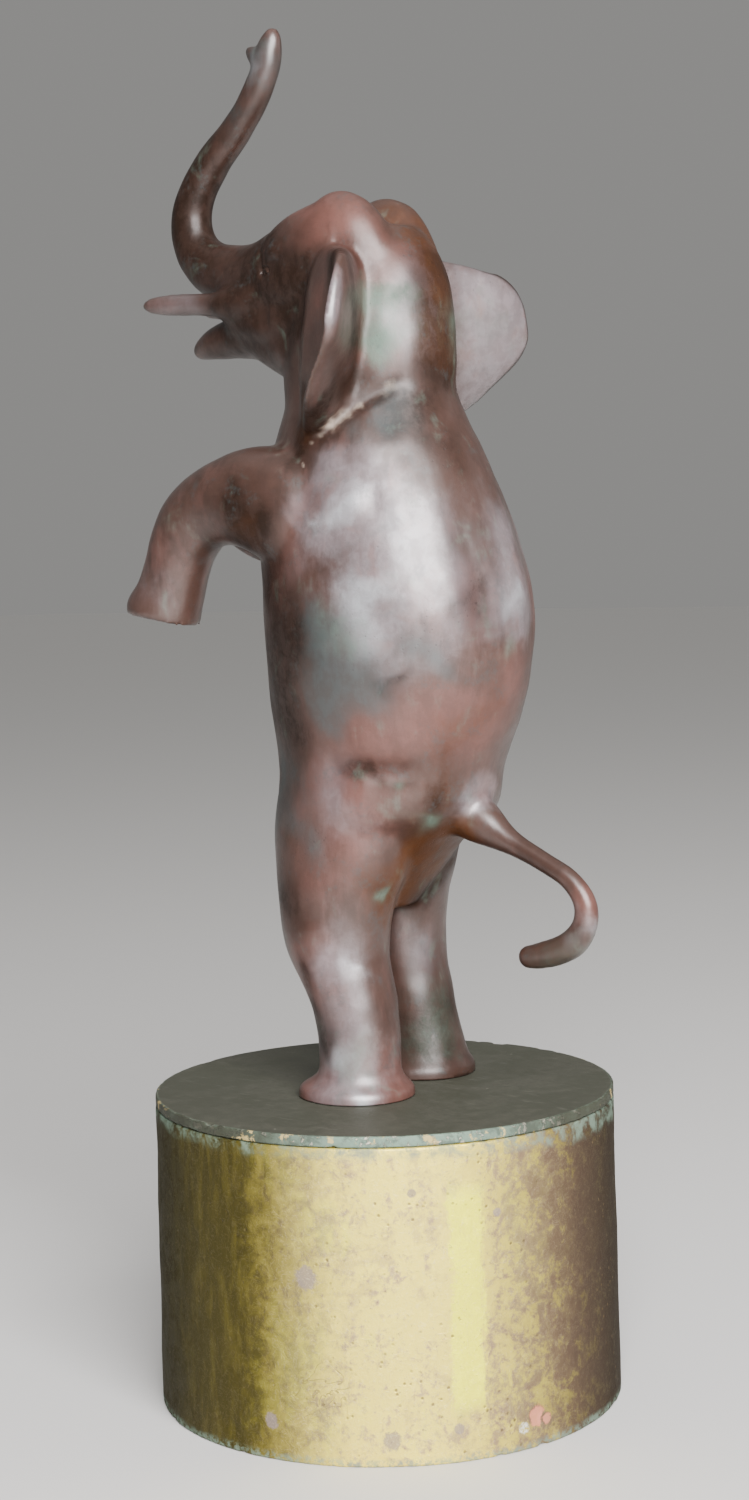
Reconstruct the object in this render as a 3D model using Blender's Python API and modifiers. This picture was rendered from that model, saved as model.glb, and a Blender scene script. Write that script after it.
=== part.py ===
"""A bronze elephant rearing on its hind legs, on a round brass-faced plinth with a dark top plate.

Metres, +Z up. The origin is the centre of the plinth's underside. The elephant faces -Y, and its
own left is +X. The figure's proportions are shares of its height; the plinth's sizes are its own.
"""

import math

import bmesh
import bpy
from mathutils import Matrix, Vector
from mathutils.bvhtree import BVHTree

# Driving dimensions
PLINTH_DIAMETER = 0.180
DRUM_HEIGHT = 0.1142
TOP_PLATE_THICKNESS = 0.004
DRUM_EDGE_BEVEL = 0.0008
PLATE_EDGE_BEVEL = 0.0006
SEAT_GAP = 0.0003
ELEPHANT_HEIGHT = 0.4215
FIGURE_TO_ITS_RIGHT = 0.0035
PLINTH_SIDES = 72

# How finely the cast body is meshed
CASTING_VOXEL = 0.0018
JOINT_FILLET = 0.0065
FILLET_PASSES = 18
EVEN_SMOOTHING = 0.35
CASTING_TRIANGLES = 8400

# What the drawn stations are scaled by, across, ahead and up, to come to the measured figure. The
# scaling leaves the figure's middle, its soles and the level of its tail's bend in their places.
MEASURED_SCALE = (0.9695, 0.9918, 1.0026)
TAIL_BEND = 0.2328

TOP_PLATE_BASE = DRUM_HEIGHT + SEAT_GAP
SOLE_LEVEL = TOP_PLATE_BASE + TOP_PLATE_THICKNESS + SEAT_GAP

# Directions in the figure's own terms: to its left, ahead of it, and up
LEFT = Vector((1, 0, 0))
AHEAD = Vector((0, -1, 0))
UP = Vector((0, 0, 1))

# Every station below is (left, ahead, up, half width, half depth), in shares of the figure's
# height. Up is measured from the soles.
TORSO = (
    (0, 0.014, 0.165, 0.046, 0.038),
    (0, 0.014, 0.192, 0.072, 0.057),
    (0, 0.008, 0.222, 0.091, 0.077),
    (0, -0.005, 0.258, 0.103, 0.104),
    (0, -0.011, 0.300, 0.103, 0.111),
    (0, -0.017, 0.340, 0.108, 0.122),
    (0, -0.021, 0.380, 0.114, 0.130),
    (0, -0.023, 0.425, 0.118, 0.134),
    (0, -0.021, 0.465, 0.117, 0.134),
    (0, -0.014, 0.505, 0.113, 0.129),
    (0, -0.008, 0.545, 0.105, 0.120),
    (0, -0.003, 0.585, 0.093, 0.107),
    (0, 0.000, 0.620, 0.080, 0.093),
    (0, 0.001, 0.655, 0.068, 0.081),
    (0, 0.002, 0.690, 0.058, 0.074),
)
NECK = (
    (0, 0.003, 0.590, 0.062, 0.074),
    (0, 0.004, 0.630, 0.071, 0.085),
    (0, 0.003, 0.670, 0.073, 0.087),
    (0, 0.001, 0.710, 0.072, 0.085),
    (0, 0.001, 0.745, 0.070, 0.080),
    (0, 0.000, 0.775, 0.062, 0.066),
    (0, 0.000, 0.798, 0.046, 0.046),
)
HEAD_DOME = (
    (0.022, -0.002, 0.700, 0.034, 0.050),
    (0.028, -0.001, 0.742, 0.038, 0.058),
    (0.032, 0.001, 0.775, 0.037, 0.053),
    (0.034, 0.004, 0.801, 0.033, 0.043),
    (0.035, 0.006, 0.818, 0.024, 0.031),
    (0.035, 0.007, 0.827, 0.013, 0.018),
    (0.035, 0.007, 0.831, 0.004, 0.006),
)
TEMPLE = (
    (0.036, -0.006, 0.778, 0.036, 0.046),
    (0.036, 0.026, 0.778, 0.035, 0.046),
    (0.034, 0.052, 0.775, 0.032, 0.043),
    (0.028, 0.082, 0.767, 0.027, 0.036),
)
CHEEK = (
    (0.026, 0.045, 0.716, 0.034, 0.032),
    (0.028, 0.090, 0.717, 0.027, 0.026),
    (0.025, 0.128, 0.7185, 0.019, 0.018),
    (0.020, 0.156, 0.7200, 0.011, 0.011),
)
FACE = (
    (0, -0.010, 0.752, 0.050, 0.050),
    (0, 0.030, 0.756, 0.066, 0.064),
    (0, 0.070, 0.756, 0.063, 0.063),
    (0, 0.102, 0.756, 0.053, 0.054),
    (0, 0.128, 0.758, 0.044, 0.043),
    (0, 0.155, 0.763, 0.034, 0.034),
)
JAW = (
    (0, 0.010, 0.690, 0.050, 0.050),
    (0, 0.055, 0.695, 0.054, 0.050),
    (0, 0.095, 0.702, 0.044, 0.037),
    (0, 0.130, 0.708, 0.034, 0.025),
    (0, 0.162, 0.7085, 0.027, 0.0205),
    (0, 0.186, 0.7055, 0.022, 0.0175),
    (0, 0.202, 0.7015, 0.0165, 0.0130),
    (0, 0.213, 0.6980, 0.0110, 0.0090),
    (0, 0.2190, 0.6960, 0.0055, 0.0045),
)
TRUNK = (
    (0, 0.090, 0.756, 0.045, 0.044),
    (0, 0.130, 0.760, 0.038, 0.038),
    (0, 0.165, 0.768, 0.031, 0.032),
    (0, 0.194, 0.779, 0.026, 0.027),
    (0, 0.214, 0.797, 0.0225, 0.0235),
    (0, 0.2215, 0.823, 0.0200, 0.0215),
    (0, 0.2135, 0.853, 0.0185, 0.0195),
    (0, 0.190, 0.8835, 0.0175, 0.0180),
    (0, 0.159, 0.912, 0.0155, 0.0160),
    (0, 0.135, 0.941, 0.0145, 0.0150),
    (0, 0.1215, 0.966, 0.0135, 0.0140),
    (0, 0.1175, 0.980, 0.0128, 0.0140),
    (0, 0.1140, 0.991, 0.0105, 0.0115),
    (0, 0.1115, 0.9985, 0.0075, 0.0082),
    (0, 0.1100, 1.0032, 0.0035, 0.0038),
)
TRUNK_FINGER = (
    (0, 0.1190, 0.9660, 0.0090, 0.0100),
    (0, 0.1285, 0.9755, 0.0095, 0.0108),
    (0, 0.1365, 0.9825, 0.0075, 0.0082),
    (0, 0.1415, 0.9865, 0.0045, 0.0048),
    (0, 0.1442, 0.9885, 0.0018, 0.0020),
)
TUSK = (
    (0.030, 0.120, 0.738, 0.0140, 0.0140),
    (0.035, 0.160, 0.7385, 0.0125, 0.0125),
    (0.039, 0.190, 0.7405, 0.0112, 0.0112),
    (0.043, 0.218, 0.7420, 0.0098, 0.0098),
    (0.0455, 0.236, 0.7428, 0.0078, 0.0078),
    (0.0468, 0.2455, 0.7430, 0.0045, 0.0045),
    (0.0472, 0.2485, 0.7430, 0.0020, 0.0020),
)
TUSK_SHEATH = (
    (0.026, 0.075, 0.739, 0.0230, 0.0230),
    (0.030, 0.110, 0.7385, 0.0245, 0.0235),
    (0.034, 0.138, 0.7380, 0.0200, 0.0190),
    (0.0365, 0.154, 0.7380, 0.0160, 0.0155),
    (0.0375, 0.163, 0.7385, 0.0110, 0.0110),
)
NEAR_FORELEG = (
    (0.050, 0.004, 0.512, 0.044, 0.048),
    (0.066, 0.040, 0.535, 0.050, 0.058),
    (0.076, 0.084, 0.547, 0.043, 0.050),
    (0.079, 0.122, 0.546, 0.038, 0.041),
    (0.079, 0.152, 0.535, 0.035, 0.037),
    (0.079, 0.172, 0.513, 0.033, 0.035),
    (0.079, 0.184, 0.486, 0.032, 0.033),
    (0.079, 0.194, 0.462, 0.033, 0.034),
    (0.079, 0.203, 0.4435, 0.036, 0.038),
    (0.079, 0.2045, 0.4385, 0.033, 0.035),
)
FAR_FORELEG = (
    (-0.050, 0.004, 0.520, 0.044, 0.048),
    (-0.066, 0.040, 0.543, 0.050, 0.056),
    (-0.076, 0.085, 0.560, 0.043, 0.047),
    (-0.079, 0.125, 0.565, 0.037, 0.039),
    (-0.079, 0.155, 0.561, 0.035, 0.036),
    (-0.079, 0.178, 0.544, 0.033, 0.034),
    (-0.079, 0.195, 0.524, 0.033, 0.034),
    (-0.079, 0.208, 0.506, 0.036, 0.037),
    (-0.079, 0.2105, 0.502, 0.033, 0.034),
)
NEAR_HIND_LEG = (
    (0.044, 0.004, 0.300, 0.050, 0.070),
    (0.050, 0.008, 0.250, 0.053, 0.074),
    (0.054, 0.012, 0.205, 0.053, 0.066),
    (0.057, 0.0165, 0.170, 0.050, 0.057),
    (0.059, 0.0155, 0.135, 0.047, 0.0510),
    (0.060, 0.0045, 0.105, 0.0435, 0.0445),
    (0.0605, -0.005, 0.080, 0.0400, 0.0395),
    (0.0605, -0.009, 0.055, 0.0385, 0.0385),
    (0.0605, -0.0095, 0.035, 0.0385, 0.0385),
    (0.0605, -0.0090, 0.022, 0.0395, 0.0400),
    (0.0605, -0.0065, 0.014, 0.0450, 0.0460),
    (0.0605, -0.0045, 0.009, 0.0520, 0.0530),
    (0.0605, -0.0045, 0.004, 0.0540, 0.0550),
    (0.0605, -0.0045, -0.012, 0.0535, 0.0545),
)
FAR_HIND_LEG = (
    (-0.044, 0.008, 0.300, 0.050, 0.070),
    (-0.050, 0.016, 0.250, 0.052, 0.070),
    (-0.054, 0.022, 0.205, 0.050, 0.060),
    (-0.057, 0.028, 0.170, 0.047, 0.053),
    (-0.059, 0.030, 0.135, 0.045, 0.049),
    (-0.060, 0.025, 0.105, 0.042, 0.044),
    (-0.0605, 0.016, 0.080, 0.0400, 0.0410),
    (-0.0605, 0.009, 0.055, 0.0385, 0.0395),
    (-0.0605, 0.004, 0.035, 0.0390, 0.0400),
    (-0.0605, 0.003, 0.022, 0.0410, 0.0420),
    (-0.0605, 0.005, 0.014, 0.0460, 0.0470),
    (-0.0605, 0.007, 0.009, 0.0510, 0.0520),
    (-0.0605, 0.008, 0.004, 0.0525, 0.0535),
    (-0.0605, 0.008, -0.012, 0.0520, 0.0530),
)
TAIL = (
    (0, -0.084, 0.262, 0.0240, 0.0260),
    (0, -0.112, 0.248, 0.0195, 0.0210),
    (0, -0.134, 0.2355, 0.0135, 0.0140),
    (0, -0.155, 0.2255, 0.0100, 0.0103),
    (0, -0.1810, 0.2135, 0.0095, 0.0097),
    (0, -0.204, 0.2015, 0.0098, 0.0100),
    (0, -0.217, 0.1885, 0.0100, 0.0103),
    (0, -0.2225, 0.175, 0.0105, 0.0110),
    (0, -0.2200, 0.159, 0.0112, 0.0118),
    (0, -0.208, 0.1445, 0.0120, 0.0128),
    (0, -0.191, 0.1360, 0.0122, 0.0125),
    (0, -0.170, 0.1300, 0.0112, 0.0116),
    (0, -0.156, 0.1280, 0.0090, 0.0095),
    (0, -0.151, 0.1275, 0.0040, 0.0045),
)

# The ears. Each row is how far out along the ear from its root, its lower and its upper edge there,
# and how thick it is before and behind its middle, all in shares of the figure's height. The lower
# lobe turns forward, and the front face is hollowed inside its rim.
EAR_ROOT_LEFT = 0.072
EAR_ROOT_AHEAD = 0.008
EAR_MIDDLE_UP = 0.690
EAR_LEAN = 0.142
EAR_SWEPT_BACK = math.radians(41)
EAR_LOBE_TURN = math.radians(21)
EAR_LOBE_START_UP = 0.695
EAR_LOBE_DEPTH = 0.090
EAR_CUP = 0.008
EAR_HOLLOW = 0.009
EAR_REACH = 0.1205
EAR_ROWS = (
    (-0.014, 0.616, 0.776, 0.0170, 0.0520),
    (0.004, 0.600, 0.7765, 0.0155, 0.0445),
    (0.024, 0.605, 0.7725, 0.0135, 0.0320),
    (0.045, 0.617, 0.7685, 0.0112, 0.0218),
    (0.068, 0.632, 0.7630, 0.0095, 0.0155),
    (0.085, 0.647, 0.7590, 0.0087, 0.0120),
    (0.100, 0.662, 0.7475, 0.0078, 0.0096),
    (0.110, 0.673, 0.7335, 0.0074, 0.0084),
    (0.117, 0.683, 0.7160, 0.0066, 0.0074),
    (0.1205, 0.6935, 0.7020, 0.0054, 0.0058),
)

RING_SIDES = 28
ROWS_PER_STATION = 5
LIMB_ROUNDNESS = 2.0
EAR_ROUNDNESS = 2.6


def placed(left, ahead, up):
    """A point given in shares of the figure's height, in metres on the plinth."""
    across = LEFT * (left * ELEPHANT_HEIGHT - FIGURE_TO_ITS_RIGHT)
    return across + AHEAD * (ahead * ELEPHANT_HEIGHT) + UP * (up * ELEPHANT_HEIGHT + SOLE_LEVEL)


def between(before, start, end, after, share):
    """The smooth curve through four values, read at a share of the way from start to end."""
    slope_start = (end - before) / 2
    slope_end = (after - start) / 2
    square = share * share
    cube = square * share
    return (
        start * (2 * cube - 3 * square + 1)
        + slope_start * (cube - 2 * square + share)
        + end * (3 * square - 2 * cube)
        + slope_end * (cube - square)
    )


def smoothed(stations):
    """The stations with smooth ones added between them."""
    last = len(stations) - 1
    rows = []
    for index in range(last):
        around = [stations[min(max(index + step, 0), last)] for step in (-1, 0, 1, 2)]
        for step in range(ROWS_PER_STATION):
            share = step / ROWS_PER_STATION
            rows.append([between(*values, share) for values in zip(*around)])
    rows.append(list(stations[last]))
    return rows


def rounded(angle, power):
    """A point of the unit circle, or of a squarer ring for a power over 2."""
    cosine = math.cos(angle)
    sine = math.sin(angle)
    return (
        math.copysign(abs(cosine) ** (2 / power), cosine),
        math.copysign(abs(sine) ** (2 / power), sine),
    )


def skin(rings):
    """A closed form through the rings of points, with its two ends filled."""
    form = bmesh.new()
    loops = [[form.verts.new(point) for point in ring] for ring in rings]
    for below, above in zip(loops, loops[1:]):
        for side in range(RING_SIDES):
            other = (side + 1) % RING_SIDES
            form.faces.new((below[side], below[other], above[other], above[side]))
    form.faces.new(reversed(loops[0]))
    form.faces.new(loops[-1])
    bmesh.ops.recalc_face_normals(form, faces=form.faces)
    return form


def turns(roundness):
    """The points of one ring, as shares of its half width and of its half depth."""
    return [rounded(2 * math.pi * side / RING_SIDES, roundness) for side in range(RING_SIDES)]


def sweep(stations, level=False):
    """A closed form through the stations: its rings stand square to their path, or lie level."""
    rows = smoothed(stations)
    centres = [placed(*row[:3]) for row in rows]
    rings = []
    for index, (row, centre) in enumerate(zip(rows, centres)):
        along = UP if level else centres[min(index + 1, len(rows) - 1)] - centres[max(index - 1, 0)]
        along = along.normalized()
        width = (LEFT - along * LEFT.dot(along)).normalized()
        depth = along.cross(width)
        half_width, half_depth = (share * ELEPHANT_HEIGHT for share in row[3:])
        rings.append([
            centre + width * (wide * half_width) + depth * (deep * half_depth)
            for wide, deep in turns(LIMB_ROUNDNESS)
        ])
    return skin(rings)


def eased(share):
    """A smooth rise from 0 to 1."""
    share = min(max(share, 0), 1)
    return share * share * (3 - 2 * share)


def ear(side):
    """The left ear for side 1, or the right one for side -1: a hollowed wedge with a thick rim."""
    rings = []
    for out, low, high, before, behind in smoothed(EAR_ROWS):
        reach = min(max(out / EAR_REACH, 0), 1)
        cup = EAR_CUP * math.sin(math.pi * reach)
        ring = []
        for tall, thick in turns(EAR_ROUNDNESS):
            up = (low + high) / 2 + tall * (high - low) / 2
            swept = EAR_SWEPT_BACK - EAR_LOBE_TURN * eased((EAR_LOBE_START_UP - up) / EAR_LOBE_DEPTH)
            outward = LEFT * (side * math.cos(swept)) - AHEAD * math.sin(swept)
            facing = LEFT * (side * math.sin(swept)) + AHEAD * math.cos(swept)
            hollow = 0
            if thick > 0:
                hollow = EAR_HOLLOW * thick * (1 - abs(tall) ** 3) * math.sin(math.pi * reach ** 1.2)
            ahead = EAR_ROOT_AHEAD + EAR_LEAN * (EAR_MIDDLE_UP - up)
            half_thickness = before if thick > 0 else behind
            offset = outward * out + facing * (thick * half_thickness - cup - hollow)
            ring.append(placed(side * EAR_ROOT_LEFT, ahead, up) + offset * ELEPHANT_HEIGHT)
        rings.append(ring)
    return skin(rings)


def mirrored(stations):
    return tuple((-left, *rest) for left, *rest in stations)


def casting_forms():
    """The closed forms whose union is the elephant."""
    upright = (TORSO, NECK, HEAD_DOME, mirrored(HEAD_DOME), NEAR_HIND_LEG, FAR_HIND_LEG)
    bent = (
        TEMPLE, mirrored(TEMPLE), CHEEK, mirrored(CHEEK), FACE, JAW, TRUNK, TRUNK_FINGER,
        TUSK, mirrored(TUSK), TUSK_SHEATH, mirrored(TUSK_SHEATH), NEAR_FORELEG, FAR_FORELEG, TAIL,
    )
    forms = [sweep(stations, level=True) for stations in upright]
    return forms + [sweep(stations) for stations in bent] + [ear(1), ear(-1)]


def joined(forms, name):
    """One object holding every form, still overlapping."""
    together = bmesh.new()
    for form in forms:
        piece = bpy.data.meshes.new("form")
        form.to_mesh(piece)
        together.from_mesh(piece)
        bpy.data.meshes.remove(piece)
    mesh = bpy.data.meshes.new(name)
    together.to_mesh(mesh)
    together.free()
    obj = bpy.data.objects.new(name, mesh)
    bpy.context.scene.collection.objects.link(obj)
    return obj


def settle(obj):
    """Makes the object's modifiers real."""
    graph = bpy.context.evaluated_depsgraph_get()
    mesh = bpy.data.meshes.new_from_object(obj.evaluated_get(graph))
    obj.modifiers.clear()
    old = obj.data
    obj.data = mesh
    bpy.data.meshes.remove(old)


def fillet_joints(obj, forms):
    """Smooths the skin a little all over, and much more where two forms meet."""
    trees = [BVHTree.FromBMesh(form) for form in forms]
    group = obj.vertex_groups.new(name="joints")
    for vertex in obj.data.vertices:
        found = [tree.find_nearest(vertex.co, 2 * JOINT_FILLET)[3] for tree in trees]
        near = sorted(distance for distance in found if distance is not None)
        nearness = 1 - near[1] / JOINT_FILLET if len(near) > 1 else 0
        group.add([vertex.index], max(nearness, EVEN_SMOOTHING), "REPLACE")
    smooth = obj.modifiers.new("fillets", "SMOOTH")
    smooth.vertex_group = group.name
    smooth.factor = 0.5
    smooth.iterations = FILLET_PASSES


def cut_soles(obj):
    """Cuts the feet off flat at the level of the soles."""
    body = bmesh.new()
    body.from_mesh(obj.data)
    geometry = body.verts[:] + body.edges[:] + body.faces[:]
    sole = Vector((0, 0, SOLE_LEVEL))
    bmesh.ops.bisect_plane(body, geom=geometry, plane_co=sole, plane_no=UP, clear_inner=True)
    bmesh.ops.holes_fill(body, edges=[edge for edge in body.edges if edge.is_boundary])
    bmesh.ops.triangulate(body, faces=body.faces)
    body.to_mesh(obj.data)
    body.free()


def bring_to_measure(obj):
    """Scales the figure from its drawn to its measured width, depth and height."""
    fixed = Vector((-FIGURE_TO_ITS_RIGHT, TAIL_BEND * ELEPHANT_HEIGHT, SOLE_LEVEL))
    scale = Matrix.Diagonal((*MEASURED_SCALE, 1))
    obj.data.transform(Matrix.Translation(fixed) @ scale @ Matrix.Translation(-fixed))


def material(name, colour, roughness, metallic):
    made = bpy.data.materials.new(name)
    made.use_nodes = True
    shader = made.node_tree.nodes["Principled BSDF"]
    shader.inputs["Base Color"].default_value = (*colour, 1)
    shader.inputs["Roughness"].default_value = roughness
    shader.inputs["Metallic"].default_value = metallic
    return made


def finish(obj, collection, made):
    """Puts the object in its collection, shaded smooth, with its material."""
    for old in obj.users_collection:
        old.objects.unlink(obj)
    collection.objects.link(obj)
    obj.data.materials.append(made)
    obj.data.shade_smooth()
    obj.data.set_sharp_from_angle(angle=math.radians(40))
    return obj


def build_elephant(collection):
    forms = casting_forms()
    obj = joined(forms, "elephant")
    remesh = obj.modifiers.new("one skin", "REMESH")
    remesh.mode = "VOXEL"
    remesh.voxel_size = CASTING_VOXEL
    settle(obj)
    fillet_joints(obj, forms)
    settle(obj)
    decimate = obj.modifiers.new("fewer faces", "DECIMATE")
    decimate.ratio = CASTING_TRIANGLES / (2 * len(obj.data.polygons))
    settle(obj)
    cut_soles(obj)
    bring_to_measure(obj)
    for form in forms:
        form.free()
    return finish(obj, collection, material("bronze", (0.16, 0.075, 0.055), 0.38, 1.0))


def disc(name, diameter, thickness, base, bevel, collection, made):
    """A round slab with its upper and lower edges eased."""
    mesh = bpy.data.meshes.new(name)
    slab = bmesh.new()
    bmesh.ops.create_cone(
        slab, cap_ends=True, segments=PLINTH_SIDES, depth=thickness,
        radius1=diameter / 2, radius2=diameter / 2,
    )
    slab.to_mesh(mesh)
    slab.free()
    obj = bpy.data.objects.new(name, mesh)
    obj.location.z = base + thickness / 2
    easing = obj.modifiers.new("eased edges", "BEVEL")
    easing.width = bevel
    easing.segments = 1
    easing.limit_method = "ANGLE"
    easing.angle_limit = math.radians(60)
    bpy.context.scene.collection.objects.link(obj)
    return finish(obj, collection, made)


def build_drum(collection):
    brass = material("aged brass", (0.36, 0.29, 0.11), 0.5, 0.9)
    return disc(
        "plinth_drum", PLINTH_DIAMETER, DRUM_HEIGHT, 0, DRUM_EDGE_BEVEL, collection, brass
    )


def build_top_plate(collection):
    dark = material("dark plate", (0.085, 0.085, 0.065), 0.6, 0.4)
    return disc(
        "plinth_top_plate", PLINTH_DIAMETER, TOP_PLATE_THICKNESS, TOP_PLATE_BASE,
        PLATE_EDGE_BEVEL, collection, dark,
    )


def main():
    for obj in list(bpy.data.objects):
        bpy.data.objects.remove(obj, do_unlink=True)
    collection = bpy.data.collections.new("bronze elephant")
    bpy.context.scene.collection.children.link(collection)
    build_drum(collection)
    build_top_plate(collection)
    build_elephant(collection)


main()
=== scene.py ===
"""Dresses a packed bronze elephant on its brass-faced plinth: the chased casting with its worn patina,
painted highlights and painted shade, the tarnished drum darkened toward its sides with painted shade,
the dark top plate, and a plain pale studio around them."""

import math

import bmesh
import bpy
import numpy as np
from mathutils import Matrix, Vector
from mathutils.bvhtree import BVHTree


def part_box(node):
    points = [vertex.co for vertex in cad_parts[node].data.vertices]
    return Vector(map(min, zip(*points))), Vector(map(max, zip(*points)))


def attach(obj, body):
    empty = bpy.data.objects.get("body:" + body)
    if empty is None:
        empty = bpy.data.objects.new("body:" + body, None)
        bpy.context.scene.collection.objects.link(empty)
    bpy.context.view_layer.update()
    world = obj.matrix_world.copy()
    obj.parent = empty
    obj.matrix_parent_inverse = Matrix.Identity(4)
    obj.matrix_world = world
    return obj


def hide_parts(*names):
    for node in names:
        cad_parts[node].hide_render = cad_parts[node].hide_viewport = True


bl_info = {
    "name": "Bronze Elephant Dressing",
    "version": (1, 0, 0),
    "blender": (4, 5, 0),
    "location": "3D View > Sidebar > Bronze Elephant",
    "description": "Casts, chases and patinates a rearing bronze elephant on its round plinth",
    "category": "Object",
}

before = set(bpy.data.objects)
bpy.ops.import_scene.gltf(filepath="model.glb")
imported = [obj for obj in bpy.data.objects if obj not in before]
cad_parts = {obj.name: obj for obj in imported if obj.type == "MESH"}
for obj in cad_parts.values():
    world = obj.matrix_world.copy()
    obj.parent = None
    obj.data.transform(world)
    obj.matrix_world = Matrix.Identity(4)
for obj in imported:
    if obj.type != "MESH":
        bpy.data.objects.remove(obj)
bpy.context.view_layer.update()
ELEPHANT_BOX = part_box("elephant")
DRUM_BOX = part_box("plinth_drum")
PLATE_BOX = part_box("plinth_top_plate")

# The tables below are in thousandths of the figure's height, up from its soles.
ELEPHANT_HEIGHT = 0.4215
TABLE_UNIT = ELEPHANT_HEIGHT / 1000
SOLE_LEVEL = ELEPHANT_BOX[0].z
FIGURE_TO_ITS_RIGHT = 0.0035
MILLIMETRE = 0.001

LEFT = Vector((1, 0, 0))
AHEAD = Vector((0, -1, 0))
UP = Vector((0, 0, 1))

# The camera stands where the photograph's did. Right and toward are level directions of its view.
PHOTO_TOWARD = Vector((0.7986, 0.6018, 0))
PHOTO_RIGHT = Vector((-0.6018, 0.7986, 0))
PHOTO_DISTANCE = 0.9697
PHOTO_HEIGHT = 0.3247
PHOTO_SIDESTEP = 0.0015
PHOTO_ROLL = -0.026
PHOTO_LENS = 59.05
PHOTO_SENSOR = 36
PHOTO_SHIFT_Y = -0.1265

# Every station is (left, ahead, up, half width, half depth).
TORSO = (
    (0, 14, 165, 46, 38), (0, 14, 192, 72, 57), (0, 8, 222, 91, 77), (0, -5, 258, 103, 104),
    (0, -11, 300, 103, 111), (0, -17, 340, 108, 122), (0, -21, 380, 114, 130), (0, -23, 425, 118, 134),
    (0, -21, 465, 117, 134), (0, -14, 505, 113, 129), (0, -8, 545, 105, 120), (0, -3, 585, 93, 107),
    (0, 0, 620, 80, 93), (0, 1, 655, 68, 81), (0, 2, 690, 58, 74),
)
NECK = (
    (0, 3, 590, 62, 74), (0, 4, 630, 71, 85), (0, 3, 670, 73, 87), (0, 1, 710, 72, 85),
    (0, 1, 745, 70, 80), (0, 0, 775, 62, 66), (0, 0, 798, 46, 46),
)
HEAD_DOME = (
    (22, -2, 700, 34, 50), (28, -1, 742, 38, 58), (32, 1, 775, 37, 53), (34, 4, 801, 33, 43),
    (35, 6, 818, 24, 31), (35, 7, 827, 13, 18), (35, 7, 831, 4, 6),
)
TEMPLE = (
    (36, -6, 778, 36, 46), (36, 26, 778, 35, 46), (34, 52, 775, 32, 43), (28, 82, 767, 27, 36),
)
CHEEK = (
    (26, 45, 716, 34, 32), (28, 90, 717, 27, 26), (25, 128, 718.5, 19, 18), (20, 156, 720, 11, 11),
)
FACE = (
    (0, -10, 752, 50, 50), (0, 30, 756, 66, 64), (0, 70, 756, 63, 63), (0, 102, 756, 53, 54),
    (0, 128, 758, 44, 43), (0, 155, 763, 34, 34),
)
JAW = (
    (0, 10, 690, 50, 50), (0, 55, 695, 54, 50), (0, 95, 702, 44, 37), (0, 130, 708, 34, 25),
    (0, 162, 708.5, 27, 20.5), (0, 186, 705.5, 22, 17.5), (0, 202, 701.5, 16.5, 13), (0, 213, 698, 11, 9),
    (0, 219, 696, 5.5, 4.5),
)
TRUNK = (
    (0, 90, 756, 45, 44), (0, 130, 760, 38, 38), (0, 165, 768, 31, 32), (0, 194, 779, 26, 27),
    (0, 214, 797, 22.5, 23.5), (0, 221.5, 823, 20, 21.5), (0, 213.5, 853, 18.5, 19.5),
    (0, 190, 883.5, 17.5, 18), (0, 159, 912, 15.5, 16), (0, 135, 941, 14.5, 15),
    (0, 121.5, 966, 13.5, 14), (0, 117.5, 980, 12.8, 14), (0, 114, 991, 10.5, 11.5),
    (0, 111.5, 998.5, 7.5, 8.2), (0, 110, 1003.2, 3.5, 3.8),
)
TRUNK_FINGER = (
    (0, 119, 966, 9, 10), (0, 128.5, 975.5, 9.5, 10.8), (0, 136.5, 982.5, 7.5, 8.2),
    (0, 141.5, 986.5, 4.5, 4.8), (0, 144.2, 988.5, 1.8, 2),
)
TUSK = (
    (30, 120, 738, 14, 14), (35, 160, 738.5, 12.5, 12.5), (39, 190, 740.5, 11.2, 11.2),
    (43, 218, 742, 9.8, 9.8), (45.5, 236, 742.8, 7.8, 7.8), (46.8, 245.5, 743, 4.5, 4.5),
    (47.2, 248.5, 743, 2, 2),
)
TUSK_SHEATH = (
    (26, 75, 739, 23, 23), (30, 110, 738.5, 24.5, 23.5), (34, 138, 738, 20, 19),
    (36.5, 154, 738, 16, 15.5), (37.5, 163, 738.5, 11, 11),
)
NEAR_FORELEG = (
    (50, 4, 512, 44, 48), (66, 40, 535, 50, 58), (76, 84, 547, 43, 50), (79, 122, 546, 38, 41),
    (79, 152, 535, 35, 37), (79, 172, 513, 33, 35), (79, 184, 486, 32, 33), (79, 194, 462, 33, 34),
    (79, 203, 443.5, 36, 38), (79, 204.5, 438.5, 33, 35),
)
FAR_FORELEG = (
    (-50, 4, 520, 44, 48), (-66, 40, 543, 50, 56), (-76, 85, 560, 43, 47), (-79, 125, 565, 37, 39),
    (-79, 155, 561, 35, 36), (-79, 178, 544, 33, 34), (-79, 195, 524, 33, 34), (-79, 208, 506, 36, 37),
    (-79, 210.5, 502, 33, 34),
)
NEAR_HIND_LEG = (
    (44, 4, 300, 50, 70), (50, 8, 250, 53, 74), (54, 12, 205, 53, 66), (57, 16.5, 170, 50, 57),
    (59, 15.5, 135, 47, 51), (60, 4.5, 105, 43.5, 44.5), (60.5, -5, 80, 40, 39.5),
    (60.5, -9, 55, 38.5, 38.5), (60.5, -9.5, 35, 38.5, 38.5), (60.5, -9, 22, 39.5, 40),
    (60.5, -6.5, 14, 45, 46), (60.5, -4.5, 9, 52, 53), (60.5, -4.5, 4, 54, 55),
    (60.5, -4.5, -12, 53.5, 54.5),
)
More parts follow.
